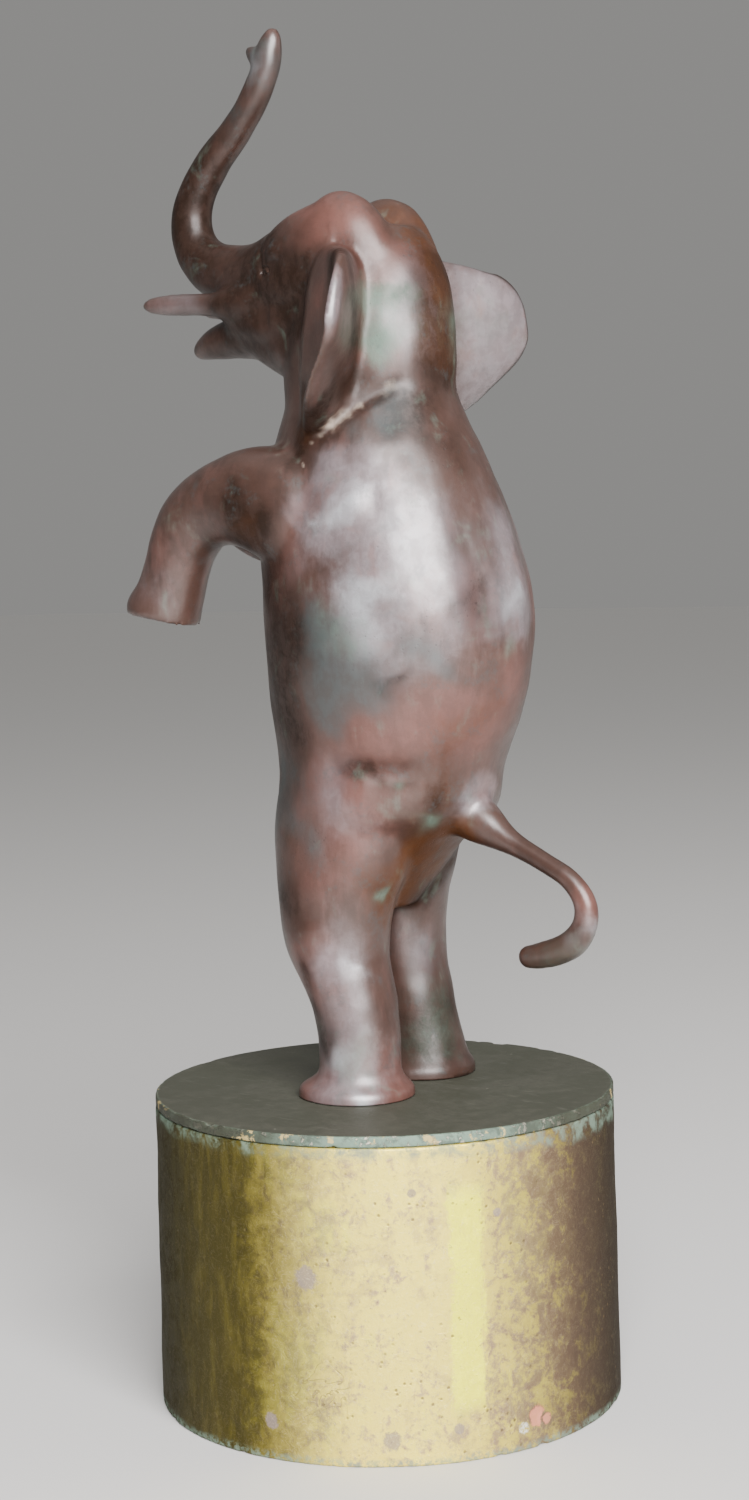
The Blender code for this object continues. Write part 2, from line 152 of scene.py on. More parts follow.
FAR_HIND_LEG = (
    (-44, 8, 300, 50, 70), (-50, 16, 250, 52, 70), (-54, 22, 205, 50, 60), (-57, 28, 170, 47, 53),
    (-59, 30, 135, 45, 49), (-60, 25, 105, 42, 44), (-60.5, 16, 80, 40, 41), (-60.5, 9, 55, 38.5, 39.5),
    (-60.5, 4, 35, 39, 40), (-60.5, 3, 22, 41, 42), (-60.5, 5, 14, 46, 47), (-60.5, 7, 9, 51, 52),
    (-60.5, 8, 4, 52.5, 53.5), (-60.5, 8, -12, 52, 53),
)
TAIL = (
    (0, -84, 262, 24, 26), (0, -112, 248, 19.5, 21), (0, -134, 235.5, 13.5, 14),
    (0, -155, 225.5, 10, 10.3), (0, -181, 213.5, 9.5, 9.7), (0, -204, 201.5, 9.8, 10),
    (0, -217, 188.5, 10, 10.3), (0, -222.5, 175, 10.5, 11), (0, -220, 159, 11.2, 11.8),
    (0, -208, 144.5, 12, 12.8), (0, -191, 136, 12.2, 12.5), (0, -170, 130, 11.2, 11.6),
    (0, -156, 128, 9, 9.5), (0, -151, 127.5, 4, 4.5),
)

# The ears. Each row is how far out along the ear from its root, its lower and its upper edge there,
# and how thick it is before and behind its middle. The lower lobe turns forward, and the front face
# is hollowed inside its rim.
EAR_ROOT_LEFT = 72
EAR_ROOT_AHEAD = 8
EAR_MIDDLE_UP = 690
EAR_LEAN = 0.142
EAR_SWEPT_BACK = math.radians(41)
EAR_LOBE_TURN = math.radians(21)
EAR_LOBE_START_UP = 695
EAR_LOBE_DEPTH = 90
EAR_CUP = 8
EAR_HOLLOW = 9
EAR_REACH = 120.5
EAR_ROWS = (
    (-14, 616, 776, 17, 52), (4, 600, 776.5, 15.5, 44.5), (24, 605, 772.5, 13.5, 32),
    (45, 617, 768.5, 11.2, 21.8), (68, 632, 763, 9.5, 15.5), (85, 647, 759, 8.7, 12),
    (100, 662, 747.5, 7.8, 9.6), (110, 673, 733.5, 7.4, 8.4), (117, 683, 716, 6.6, 7.4),
    (120.5, 693.5, 702, 5.4, 5.8),
)

RING_SIDES = 56
ROWS_PER_STATION = 8
LIMB_ROUNDNESS = 2.0
EAR_ROUNDNESS = 2.6
JOINT_FILLET = 0.0065
EVEN_SMOOTHING = 0.30
FILLET_FACTOR = 0.5
FILLET_PASSES = 34
CASTING_TRIANGLES = 190000
WAVES = 14

# Creases and swellings chased into the casting: each one's path, its half width and its height in
# millimetres, in for a crease and out for a swelling, and whether the other side has it too.
CHASING = (
    ("neck fold", ((88, 16, 594), (87, -6, 604), (80, -18, 617), (68, -37, 632), (52, -58, 645.5),
     (36, -70, 652)), 3, -1.6, True),
    ("shoulder under the fold", ((95, 0, 570), (86, -36, 592), (62, -66, 613)), 9, 1, True),
    ("shoulder blade", ((110, 4, 540), (104, -38, 543), (92, -68, 540)), 8, 1.8, True),
    ("hollow behind the shoulder", ((110, -50, 500), (107, -68, 478), (110, -66, 440)), 10, -0.4, True),
    ("hollow beside the spine", ((30, -108, 585), (42, -126, 525), (46, -141, 468), (36, -148, 400),
     (26, -142, 350)), 7.5, -1.3, True),
    ("flank fold", ((104, 0, 306), (101, -35, 303.5), (87, -69, 301), (69, -95, 304.8)), 4.2, -1.6,
     True),
    ("belly over the fold", ((108, -20, 335), (95, -70, 330), (70, -105, 335)), 9, 0.9, True),
    ("hip", ((102, -12, 278), (88, -60, 272)), 11, 1.2, True),
    ("thigh hollow", ((70, -80, 262), (62, -70, 225), (70, -50, 190)), 7, -1, True),
    ("knee", ((104, 10, 165), (104, 4, 130)), 8, 0.7, True),
    ("cheek hollow", ((46, 104, 716), (54, 78, 722)), 5, -1.1, True),
    ("jowl", ((40, 98, 694), (50, 60, 690)), 6, 0.7, True),
    ("lid", ((54, 73.5, 787), (59, 70, 777), (61, 69, 769)), 4.2, 2, True),
    ("crease before the lid", ((44, 98.5, 789), (53.3, 92.5, 772.6), (57.5, 88, 760), (59, 84, 752)),
     1.6, -1.7, True),
    ("arch over the ear", ((69.9, -2.4, 780.6), (67.8, -16.9, 777.6), (62.4, -28.7, 771.4)), 1.3, -0.8,
     True),
    ("nostrils", ((0, 128, 993), (0, 120, 998)), 1.7, -1.6, False),
    ("ankle", ((100, 0, 17.5), (60, 34, 17.5), (22, -9, 17.5), (60, -52, 17.5), (100, -9, 17.5)), 1.4,
     -0.5, False),
)
CHASING_FADE = 0.36

# The eye, in millimetres but for its place.
EYE = (59.2, 82.5, 760)
EYE_REFINED = 8.0
EYE_NARROWING = 1.25
EYE_REACH = 6.9
EYE_THICKNESS = 6.0
SOCKET_RADIUS = 2.415
SOCKET_DEPTH = 0.7
EYEBALL_RADIUS = 1.38
EYEBALL_HEIGHT = 0.55
LID_RADIUS = 1.978
LID_WIDTH = 0.62
LID_HEIGHT = 0.6
LOWER_LID_SHARE = 0.2
CREASE_RADIUS = LID_RADIUS + 1.5
CREASE_WIDTH = 0.55
CREASE_DEPTH = 0.45

# Where the finish differs. Each mark is (left, ahead, up, reach in millimetres, strength). The dark brown
# marks also paint shade, and the two palest kinds are painted highlights.
MARKS = {
    "verdigris": (
        (50.5, -57.5, 715, 8, 1), (53, -56, 695, 7, 1), (52, -55.5, 732, 5, 0.9),
        (110, -40, 440, 8, 0.45), (55.2, -77.4, 242.8, 4.5, 0.8), (72.2, -43.3, 187.8, 4, 0.8),
        (76.8, -80.2, 288, 2.4, 0.6), (94.5, -27, 34, 9, 0.5), (-38.5, -31.3, 40, 12, 0.25),
        (-40, -30, 75, 10, 0.2), (-50, -80, 700, 12, 0.7), (-100, 0, 420, 13, 0.6),
        (0, 110, 380, 12, 0.5), (14.5, -152.6, 400.6, 5, 0.5), (115, -34, 600, 5, 0.4),
        (-30, 60, 200, 10, 0.5), (0, -191, 136, 10, 0.25), (0, -217, 150, 6, 0.4),
        (-120, -80, 700, 8, 0.3), (92.4, 6, 58, 6, 0.35),
    ),
    "slate": (
        (75, 62, 300, 6, 0.9), (78, 58, 275, 6, 0.9), (88, 50, 245, 6, 0.9), (115.1, -32.2, 400.5, 11, 1),
        (110.7, -44.9, 373.6, 10, 0.9), (117.5, -25.9, 427.4, 6, 0.9), (113, -44, 350, 8, 0.7),
        (80.3, -117.2, 403.6, 5, 0.75), (66.4, -128.7, 394.1, 5, 0.7), (92, -103, 398, 6, 0.6),
        (99, 18, 275, 9, 0.6), (98, 20, 235, 8, 0.6), (-110, -30, 390, 14, 0.9), (-100, 20, 260, 11, 0.6),
        (40, 120, 420, 12, 0.5), (10.3, 114, 972.6, 8, 0.8), (14.1, 155.5, 919.6, 8, 0.4),
        (50.7, -69.6, 623.7, 8, 0.7), (82.6, -36.2, 597.5, 7, 0.5),
    ),
    "rust": (
        (6.6, -58.1, 211, 13, 1), (30, -72, 226, 9, 0.7), (1.3, -90, 740, 9, 0.5),
        (-10, -85, 690, 11, 0.5), (-20, -60, 790, 11, 0.6), (-30, -20, 815, 10, 0.5),
        (20, -150, 345, 9, 0.5), (60, -128, 320, 9, 0.4), (20, -30, 160, 11, 0.7),
        (89.6, 9.2, 627, 7, 0.6), (116.4, 67.3, 528.6, 8, 0.35), (-32.7, -46.9, 204.1, 7, 0.8),
        (38.4, -46.7, 195.7, 7, 0.8), (22.6, -58.4, 212.9, 9, 0.8), (66, -45, 172, 8, 0.4),
        (94, 40, 248, 8, 0.3), (50.3, -102.8, 281.1, 9, 0.35), (9.6, -89.1, 235.8, 8, 0.5),
    ),
    # Dark brown patina, and painted shade under the rump and on the shaded sides of the legs.
    "umber_and_painted_shade": (
        (50.3, -102.8, 281.1, 9, 0.8), (-30, -48.8, 204.5, 11, 1), (-7.1, -41.9, 190, 9, 0.9),
        (22.6, -58.4, 212.9, 7, 0.9), (52.1, -142.1, 451.1, 9, 0.5), (1.6, -84.2, 716.2, 10, 1),
        (8, -83, 695, 8, 0.6), (112.2, 70.8, 528.7, 8, 0.9), (95.3, 31.6, 344.4, 8, 0.8),
        (92.4, 6, 62.7, 8, 0.8), (98.7, 7.9, 99.9, 6, 0.5), (-35, -23.1, 53.5, 13, 0.8),
        (-36, -33, 21.2, 9, 0.7), (0, -195, 134.4, 12, 0.22), (0, -215.6, 144.6, 8, 0.2),
        (0, -179, 218, 9, 0.5), (48.6, -49.9, 761.4, 8, 0.45), (68, 67.6, 286, 9, 0.6),
        (-40, -18, 118, 8, 0.35), (99, -2, 549, 7, 0.35), (44, -76, 633, 8, 0.3),
        (115.1, -32.2, 400.5, 8, 0.25), (12.4, 201.4, 827.4, 6, 0.5), (37.4, 97.5, 795.2, 9, 1),
        (60.9, 52.4, 732.8, 11, 1), (64.5, 48.3, 769.4, 9, 0.9), (89.7, -65.8, 302, 5, 1),
        (104.9, 19.4, 127.2, 7, 0.8), (59.2, 82.5, 760, 4, 1), (96, 30, 180, 10, 0.7),
        (5, 218.5, 825, 12, 0.7), (5, 195, 875, 12, 0.5), (99.9, -39.9, 304, 5, 0.9),
        (98.2, 1.4, 64.1, 6, 0.9), (52.2, -142.2, 451.1, 6, 0.4), (50.7, -69.6, 623.7, 8, 0.6),
        (94.4, -94.1, 386.5, 4, 0.8), (99.4, -80.8, 373.3, 4, 0.7), (-4, -82.8, 716.5, 13, 1),
        (-5.9, -83.1, 670.8, 12, 1), (95.5, -53.5, 755.5, 6, 0.9), (94.9, -54.2, 721.5, 7, 1),
        (83.5, -43.3, 687.2, 7, 1), (76.7, -31.1, 652.2, 6, 0.8), (-20, -55, 215, 11, 1),
        (-36, -22, 53, 9, 0.6), (-12, -80, 735, 10, 1), (0, -80, 765, 11, 0.9),
        (116.4, 67.3, 528.6, 9, 1), (21.7, -57.7, 212.7, 8, 0.5), (-32.7, -46.9, 204.1, 9, 1),
        (89.6, 9.2, 627, 9, 1), (50.7, -69.6, 623.7, 10, 0.9), (17.1, 217.1, 858.2, 10, 0.8),
        (16.5, 206, 812.8, 10, 0.6), (5, 170, 905, 14, 0.6), (60, 55, 745, 15, 0.9),
        (45, 110, 745, 16, 0.8), (20, 190, 780, 16, 0.6), (0, 215, 830, 14, 0.6), (0, 130, 950, 15, 0.55),
        (30, 150, 700, 14, 0.8), (94, 30, 420, 15, 1), (80, 70, 360, 16, 0.9), (90, 60, 480, 13, 0.8),
        (90, 30, 300, 12, 0.6), (85, 60, 540, 11, 0.6), (78, 120, 520, 9, 0.6),
        (46.8, -124.4, 522.5, 10, 0.25), (44, -138, 475, 10, 0.5), (30, -105, 585, 10, 0.5),
        (90, 15, 610, 7, 1), (105, -12, 628, 8, 1), (40, 100, 660, 14, 0.6), (-60, 90, 420, 20, 0.6),
        (-90, 90, 500, 14, 0.6),
    ),
    "blush": (
        (52.1, -142.1, 451.1, 8, 0.6), (96.8, -22.4, 18.5, 6, 1), (100.3, 23.2, 126.2, 8, 0.8),
        (98.7, 7.9, 99.9, 7, 0.7), (105.3, 50, 470, 8, 0.7), (59.4, -19.3, 804.6, 12, 1),
        (45, 30, 815, 10, 0.9), (110, 10, 720, 9, 1), (118, 2, 680, 8, 1), (77.8, -102.7, 345.7, 13, 0.8),
        (100, -60, 330, 14, 0.8), (102, -30, 262, 15, 0.8), (62, -95, 440, 9, 0.7),
        (30, -140, 330, 14, 0.8), (100, 20, 500, 10, 0.6), (60, -140, 430, 9, 0.7),
        (52.1, -142.1, 451.1, 7, 0.8), (80, 190, 500, 13, 0.5), (48, -60, 750, 10, 0.9),
        (40, -66, 680, 9, 0.5), (75, -35, 690, 6, 0.7), (-5.3, -149.4, 377.1, 9, 0.8),
        (95.6, -23.4, 75, 8, 0.5), (102.1, -18.2, 282.8, 10, 0.9), (102, -5, 10, 12, 1),
        (60, -55, 10, 12, 1), (60, 45, 10, 12, 1), (95, 10, 60, 7, 0.7), (0, -223, 182, 9, 0.9),
        (-110, 0, 340, 20, 0.8), (95, -66, 545, 9, 0.6), (-60, -140, 450, 16, 0.6),
        (106, -20, 200, 12, 0.6),
    ),
    # Pale grey painted highlight where the broad faces catch the light; the coat is glossier there too.
    "pale_painted_highlight": (
        (99.7, -36.3, 543.3, 9, 1), (105.3, -11.7, 530.6, 8, 0.9), (107.2, -67.1, 453.5, 11, 1),
        (111.1, -52.2, 418.2, 7, 0.8), (6.7, -156.4, 449.6, 8, 1), (109.2, 3.9, 490.5, 8, 0.3),
        (-105, -45, 740, 12, 1), (-135, -60, 715, 14, 1), (-120, -55, 665, 13, 1), (160, -75, 725, 8, 1),
        (157, -70, 750, 6, 1), (158, -73, 700, 6, 1), (100, -35, 6, 8, 1), (11.4, 126, 960, 7, 0.4),
        (47, 195, 742.5, 8, 0.65), (109.5, -68.9, 453.5, 12, 1), (101.7, -37.8, 543.2, 9, 1),
        (110.5, 1.3, 535.6, 8, 0.5), (111.2, 1.7, 508.5, 6, 0.6), (5.8, -155.8, 449.6, 10, 1),
        (-4.9, -142.7, 503.7, 9, 0.9), (46.8, -124.4, 522.5, 8, 0.2), (110, -26, 543, 8, 1),
        (102.1, -18.2, 282.8, 9, 0.75), (94.8, -34.1, 246.7, 8, 0.4), (95.6, -23.4, 75, 8, 0.65),
        (29.5, -75, 706, 8, 0.8), (30, -70, 742.7, 6, 0.5), (-37.8, -11.5, 118.3, 8, 0.7),
        (0, -222, 163, 5, 0.6), (110, 185, 470, 10, 0.3), (88.2, -93.4, 505.8, 14, 1),
        (99.1, -47.1, 542.9, 11, 1), (105.5, -81.4, 417.9, 11, 0.9), (79.6, -118.6, 460.9, 12, 1),
        (105.4, -74.3, 475.5, 9, 0.7), (60, -40, 750, 11, 0.1), (45, -62, 690, 12, 0.2),
        (90.5, -20, 119.3, 7, 1), (93.9, -19, 155.6, 6, 0.4), (-90, -90, 705, 16, 0.9),
        (-120, -110, 720, 15, 0.9), (0, -158, 440, 9, 0.8), (14, -122, 272, 6, 0.9),
        (94.5, -27, 39.2, 11, 1), (-40, -30, 110, 9, 0.15), (-80, -100, 500, 16, 0.8),
        (103.6, -33, 8.2, 8, 1),
    ),
    # The palest bluish white: a painted reflection of the sky on the brightest highlights.
    "painted_sky_reflection": (
        (99.7, -36.3, 543.3, 7, 1), (105.3, -11.7, 530.6, 5, 0.7), (107.2, -67.1, 453.5, 8, 1),
        (111.1, -52.2, 418.2, 6, 0.8), (94.5, -27, 45, 5.5, 1), (90.5, -20, 119.3, 5, 0.6),
        (100.5, -34, 7, 3.6, 1), (6.7, -156.4, 449.6, 6, 0.9), (10.3, 114, 972.6, 5, 0.6),
        (88.2, -93.4, 505.8, 8, 0.4), (0, -222, 163, 4, 0.6), (17, -117.1, 259, 5, 0.4),
        (-90, -70, 460, 9, 0.6), (-95, -20, 540, 8, 0.6),
    ),
}
MARK_SPREAD = 1.35
MARK_WANDERS = ((0.0042, 0.026, 60), (0.0011, 0.008, 70))
SEEDS_PER_MARK = 20

# Painted shade: the dark line in the fold at the waist and the dark rim of the far ear, their widths in
# millimetres.
FOLD_PAINTED_SHADE = (
    (101, -18, 307.5), (98.8, -28.8, 306.2), (90.3, -60.6, 302.9), (79.2, -80.2, 302.5),
    (65.6, -96.9, 305.5),
)
FOLD_PAINTED_SHADE_WIDTH = 2.8
FOLD_PAINTED_SHADE_STRENGTH = 0.62
FAR_EAR_RIM_SHADE_WIDTH = 3.0
EAR_EDGE_DRAWN_IN = 3.0

# Folds that keep their dust: each one's path, its width in millimetres and its strength.
DUSTY_FOLDS = (
    (((90, 14, 595), (87, -6, 604), (80, -18, 616.5), (68, -37, 631)), 2.1, 0.74),
    (((72, -30, 628), (60, -50, 640), (50, -62, 646.5)), 3.4, 0.42),
    (((94.5, 16, 583), (92.5, 12, 578)), 1, 0.6),
    (((-88, 6, 600), (-80, -18, 616.5), (-60, -50, 640)), 2.4, 0.6),
)
DUST_LEAST_WIDTH = 0.6

PLINTH_RADIUS = (DRUM_BOX[1].x - DRUM_BOX[0].x) / 2
PLINTH_SIDES = 360
EASING_STEPS = 5
DISC_MIDDLE = 0.04

# Places on the drum: millimetres rightwards round it from the camera's side, millimetres up, size.
# A dent's last number is its depth.
DRUM_STAINS = (
    (-30.5, 67, 4.4), (-0.5, 9.5, 3.4), (-46, 14, 2.7), (9, 98, 1.4), (24, 12, 2.0), (41, 88, 1.5),
)
DRUM_CHIP = (56.5, 11.5, 3.6)
DRUM_CHIP_TAIL = (61, 9.5, 2.2)
# A near-white painted glint on a small chip at the drum's foot.
DRUM_CHIP_GLINT = (50.5, 8.0, 2.2)
DRUM_CRACKS = (-25, 27, 11)
DRUM_DENTS = ((56.5, 11.5, 4.0, 0.9), (-64, 8.5, 3.6, 0.7), (50.5, 7.5, 2.4, 0.7))

# The lesser tints of the brass, and then of the top plate.
TAN = (0.33, 0.225, 0.15)
KHAKI = (0.27, 0.235, 0.125)
# Near black painted shade for the far left of the drum.
FAR_LEFT_PAINTED_SHADE = (0.018, 0.015, 0.003)
COPPER_BROWN = (0.19, 0.085, 0.060)
# Dark tarnish with painted shade for the drum's right, and near black painted shade for its far right.
DARK_TARNISH_AND_SHADE = (0.052, 0.034, 0.025)
SHADE_BROWN = (0.014, 0.010, 0.005)
STAIN_GREY = (0.20, 0.155, 0.150)
SPECK_BROWN = (0.10, 0.07, 0.035)
FLECK_BROWN = (0.14, 0.095, 0.055)
CRACK_OCHRE = (0.22, 0.17, 0.075)
HAIR_GOLD = (0.74, 0.63, 0.40)
BARE_COPPER = (0.56, 0.21, 0.135)
# The near-white of the painted glint on the drum's foot.
GLINT_CREAM = (0.72, 0.70, 0.60)
WORN_OLIVE = (0.084, 0.083, 0.064)
SOOT = (0.038, 0.036, 0.027)
RUBBED_GREY = (0.15, 0.15, 0.125)
LINT_GREY = (0.42, 0.40, 0.34)
DEEP_GREEN = (0.070, 0.095, 0.075)
CRUST_CREAM = (0.52, 0.50, 0.40)
EDGE_SHADE = (0.030, 0.030, 0.018)
BARE_BRASS = (0.50, 0.38, 0.15)


def a_colour(name, description, default):
    return bpy.props.FloatVectorProperty(
        name=name, description=description, default=default, subtype="COLOR",
    )


def a_length(name, description, default):
    return bpy.props.FloatProperty(
        name=name, description=description, default=default, unit="LENGTH", subtype="DISTANCE",
    )


class CastingSizes(bpy.types.PropertyGroup):
    grain: a_length("Grain", "How finely the casting's skin is meshed", 0.00112)
    chasing_depth: bpy.props.FloatProperty(
        name="Chasing Depth", description="How deeply the creases and swellings are worked",
        default=1.0, subtype="FACTOR",
    )
    waver: a_length("Waver", "How far the hand-worked surface strays", 0.00028)


class BronzeFinish(bpy.types.PropertyGroup):
    chestnut: a_colour("Chestnut", "The warm red-brown of the bronze", (0.051, 0.0240, 0.0172))
    # Also the colour of the painted shade under the rump, on the legs, in the waist fold and along the
    # far ear's rim.
    umber_and_painted_shade: a_colour("Umber And Painted Shade", "The darkest brown of the bronze", (0.0120, 0.0058, 0.0033))
    blush: a_colour("Blush", "Where rubbed copper shows pink", (0.130, 0.054, 0.043))
    # A pale grey painted highlight where the broad faces catch the light.
    pale_painted_highlight: a_colour("Pale Painted Highlight", "The pale grey film on the broad faces", (0.215, 0.183, 0.197))
    # A painted reflection of the sky: bluish white on the brightest highlights.
    painted_sky_reflection: a_colour("Painted Sky Reflection", "The palest rubbed places", (0.34, 0.355, 0.375))
    verdigris: a_colour("Verdigris", "The grey-green corrosion", (0.10, 0.145, 0.115))
    slate: a_colour("Slate", "The dark blue-grey staining", (0.040, 0.052, 0.053))
    rust: a_colour("Rust", "The orange-brown staining in sheltered places", (0.076, 0.026, 0.007))
    dust: a_colour("Dust", "The cream dirt left in the folds", (0.36, 0.295, 0.24))


class PlinthFinish(bpy.types.PropertyGroup):
    brass: a_colour("Brass", "The aged brass face", (0.90, 0.735, 0.125))
    bright_brass: a_colour("Bright Brass", "The cleaner strip of brass", (1.0, 0.97, 0.035))
    tarnish: a_colour("Tarnish", "The pinkish-brown mottling of the brass", (0.36, 0.250, 0.165))
    # Dark olive tarnish with painted shade, deepening round to the drum's left.
    olive: a_colour("Olive", "The dull olive side of the brass", (0.052, 0.043, 0.010))
    plate: a_colour("Top Plate", "The dark top plate", (0.054, 0.056, 0.040))
    band: a_colour("Band", "The green corrosion along the top plate's edge", (0.15, 0.215, 0.165))
    rim_wear: a_length("Rim Wear", "How far the worn rims are eaten in", 0.0007)


class StudioSettings(bpy.types.PropertyGroup):
    floor_colour: a_colour("Floor", "The pale studio floor", (0.63, 0.62, 0.605))
    window_power: bpy.props.FloatProperty(
        name="Window Power", description="The power of the large soft light behind the camera",
        default=142.0, unit="POWER",
    )


class Wire:
    """A socket that takes part in sums."""

    def __init__(self, bench, socket):
        self.bench = bench
        self.socket = socket

    def sum(self, operation, *values):
        return self.bench.node("ShaderNodeMath", {"operation": operation}, dict(enumerate(values)))

    def __add__(self, other):
        return self.sum("ADD", self, other)

    def __radd__(self, other):
        return self.sum("ADD", other, self)

    def __sub__(self, other):
        return self.sum("SUBTRACT", self, other)

    def __rsub__(self, other):
        return self.sum("SUBTRACT", other, self)

    def __mul__(self, other):
        return self.sum("MULTIPLY", self, other)

    def __rmul__(self, other):
        return self.sum("MULTIPLY", other, self)

    def __truediv__(self, other):
        return self.sum("DIVIDE", self, other)

    def __pow__(self, other):
        return self.sum("POWER", self, other)

    def __abs__(self):
        return self.sum("ABSOLUTE", self)

    def least(self, other):
        return self.sum("MINIMUM", self, other)

    def most(self, other):
        return self.sum("MAXIMUM", self, other)

    def step(self, low, high):
        """0 below low, 1 above high, and a smooth rise between them."""
        return self.bench.node(
            "ShaderNodeMapRange", {"interpolation_type": "SMOOTHSTEP"},
            {"Value": self, "From Min": low, "From Max": high},
        )


def pick(sockets, key):
    if isinstance(key, int):
        return sockets[key]
    return next(socket for socket in sockets if key in (socket.identifier, socket.name))


class Bench:
    """The nodes of one finish."""

    def __init__(self, name):
        self.finish = bpy.data.materials.new(name)
        self.finish.use_nodes = True
        self.tree = self.finish.node_tree
        self.surface = self.tree.nodes["Principled BSDF"]
        self.place = self.node("ShaderNodeTexCoord", output="Object")

    def node(self, kind, settings=None, inputs=None, output=0):
        """A node of this kind, its settings set first; its output comes back as a wire."""
        made = self.tree.nodes.new(kind)
        for name, value in (settings or {}).items():
            setattr(made, name, value)
        for key, value in (inputs or {}).items():
            self.plug(pick(made.inputs, key), value)
        return Wire(self, pick(made.outputs, output))

    def plug(self, socket, value):
        if isinstance(value, Wire):
            self.tree.links.new(value.socket, socket)
        elif socket.type == "RGBA" and len(value) == 3:
            socket.default_value = (*value, 1)
        else:
            socket.default_value = value

    def feed(self, **sockets):
        """Sets or links the shader's own sockets, named with underscores for spaces."""
        for name, value in sockets.items():
            self.plug(self.surface.inputs[name.replace("_", " ")], value)

    def layers(self, tint, *layers):
        """The tint with each (tint, share) laid over what is under it, in order."""
        for over, share in layers:
            tint = self.node(
                "ShaderNodeMix", {"data_type": "RGBA", "blend_type": "MIX"},
                {"Factor_Float": share, "A_Color": tint, "B_Color": over}, "Result_Color",
            )
        return tint

    def stretched(self, x, y, z):
        return self.node(
            "ShaderNodeVectorMath", {"operation": "MULTIPLY"}, {0: self.place, 1: (x, y, z)}
        )

    def cloud(self, scale, detail=4.0, roughness=0.55, distortion=0.0, where=None):
        """Noise from 0 to 1, with this many features a metre."""
        return self.node(
            "ShaderNodeTexNoise", None,
            {"Vector": where or self.place, "Scale": scale, "Detail": detail,
             "Roughness": roughness, "Distortion": distortion},
        )

    def cells(self, scale):
        """The distance to the nearest of scattered points, with this many cells a metre."""
        return self.node(
            "ShaderNodeTexVoronoi", {"feature": "F1"},
            {"Vector": self.place, "Scale": scale}, "Distance",
        )

    def painted(self, name):
        """A value that the mesh carries at each of its points."""
        return self.node("ShaderNodeAttribute", {"attribute_name": name}, None, "Fac")

    def relief(self, height, distance):
        return self.node(
            "ShaderNodeBump", None, {"Strength": 1.0, "Distance": distance, "Height": height},
            "Normal",
        )


def placed(left, ahead, up):
    """A point given in thousandths of the figure's height, in metres on the plinth."""
    across = LEFT * (left * TABLE_UNIT - FIGURE_TO_ITS_RIGHT)
    return across + AHEAD * (ahead * TABLE_UNIT) + UP * (up * TABLE_UNIT + SOLE_LEVEL)


def between(before, start, end, after, share):
    """The smooth curve through four values, read at a share of the way from start to end."""
    slope_start = (end - before) / 2
    slope_end = (after - start) / 2
    square = share * share
    cube = square * share
    return (
        start * (2 * cube - 3 * square + 1)
        + slope_start * (cube - 2 * square + share)
        + end * (3 * square - 2 * cube)
        + slope_end * (cube - square)
    )


def smoothed(stations):
    """The stations with smooth ones added between them."""
    last = len(stations) - 1
    rows = []
    for index in range(last):
        around = [stations[min(max(index + step, 0), last)] for step in (-1, 0, 1, 2)]
        for step in range(ROWS_PER_STATION):
            share = step / ROWS_PER_STATION
            rows.append([between(*values, share) for values in zip(*around)])
    rows.append(list(stations[last]))
    return rows


def rounded(angle, power):
    """A point of the unit circle, or of a squarer ring for a power over 2."""
    cosine = math.cos(angle)
    sine = math.sin(angle)
    return (
        math.copysign(abs(cosine) ** (2 / power), cosine),
        math.copysign(abs(sine) ** (2 / power), sine),
    )


def turns(roundness):
    return [rounded(2 * math.pi * side / RING_SIDES, roundness) for side in range(RING_SIDES)]


def walls(form, rings):
    """Puts the rings of points into the form, with faces from each ring to the next."""
    loops = [[form.verts.new(point) for point in ring] for ring in rings]
    for below, above in zip(loops, loops[1:]):
        for side in range(len(below)):
            other = (side + 1) % len(below)
            form.faces.new((below[side], below[other], above[other], above[side]))
    return loops


def skin(rings):
    """A closed form through the rings of points, with its two ends filled."""
    form = bmesh.new()
    loops = walls(form, rings)
    form.faces.new(reversed(loops[0]))
    form.faces.new(loops[-1])
    bmesh.ops.recalc_face_normals(form, faces=form.faces)
    return form


def sweep(stations, level=False):
    """A closed form through the stations: its rings stand square to their path, or lie level."""
    rows = smoothed(stations)
    centres = [placed(*row[:3]) for row in rows]
    rings = []
    for index, (row, centre) in enumerate(zip(rows, centres)):
        along = UP if level else centres[min(index + 1, len(rows) - 1)] - centres[max(index - 1, 0)]
        along = along.normalized()
        width = (LEFT - along * LEFT.dot(along)).normalized()
        depth = along.cross(width)
        half_width, half_depth = (half * TABLE_UNIT for half in row[3:])
        rings.append([
            centre + width * (wide * half_width) + depth * (deep * half_depth)
            for wide, deep in turns(LIMB_ROUNDNESS)
        ])
    return skin(rings)


def eased(share):
    """A smooth rise from 0 to 1."""
    share = min(max(share, 0), 1)
    return share * share * (3 - 2 * share)


def ear_sweep(up):
    """How far back the ear is swept at this height."""
    return EAR_SWEPT_BACK - EAR_LOBE_TURN * eased((EAR_LOBE_START_UP - up) / EAR_LOBE_DEPTH)


def ear(side):
    """The left ear for side 1, or the right one for side -1: a hollowed wedge with a thick rim."""
    rings = []
    for out, low, high, before, behind in smoothed(EAR_ROWS):
        reach = min(max(out / EAR_REACH, 0), 1)
        cup = EAR_CUP * math.sin(math.pi * reach)
        ring = []
        for tall, thick in turns(EAR_ROUNDNESS):
            up = (low + high) / 2 + tall * (high - low) / 2
            swept = ear_sweep(up)
            outward = LEFT * (side * math.cos(swept)) - AHEAD * math.sin(swept)
            facing = LEFT * (side * math.sin(swept)) + AHEAD * math.cos(swept)
            hollow = 0
            if thick > 0:
                hollow = EAR_HOLLOW * thick * (1 - abs(tall) ** 3) * math.sin(math.pi * reach ** 1.2)
            ahead = EAR_ROOT_AHEAD + EAR_LEAN * (EAR_MIDDLE_UP - up)
            half_thickness = before if thick > 0 else behind
            offset = outward * out + facing * (thick * half_thickness - cup - hollow)
            ring.append(placed(side * EAR_ROOT_LEFT, ahead, up) + offset * TABLE_UNIT)
        rings.append(ring)
    return skin(rings)


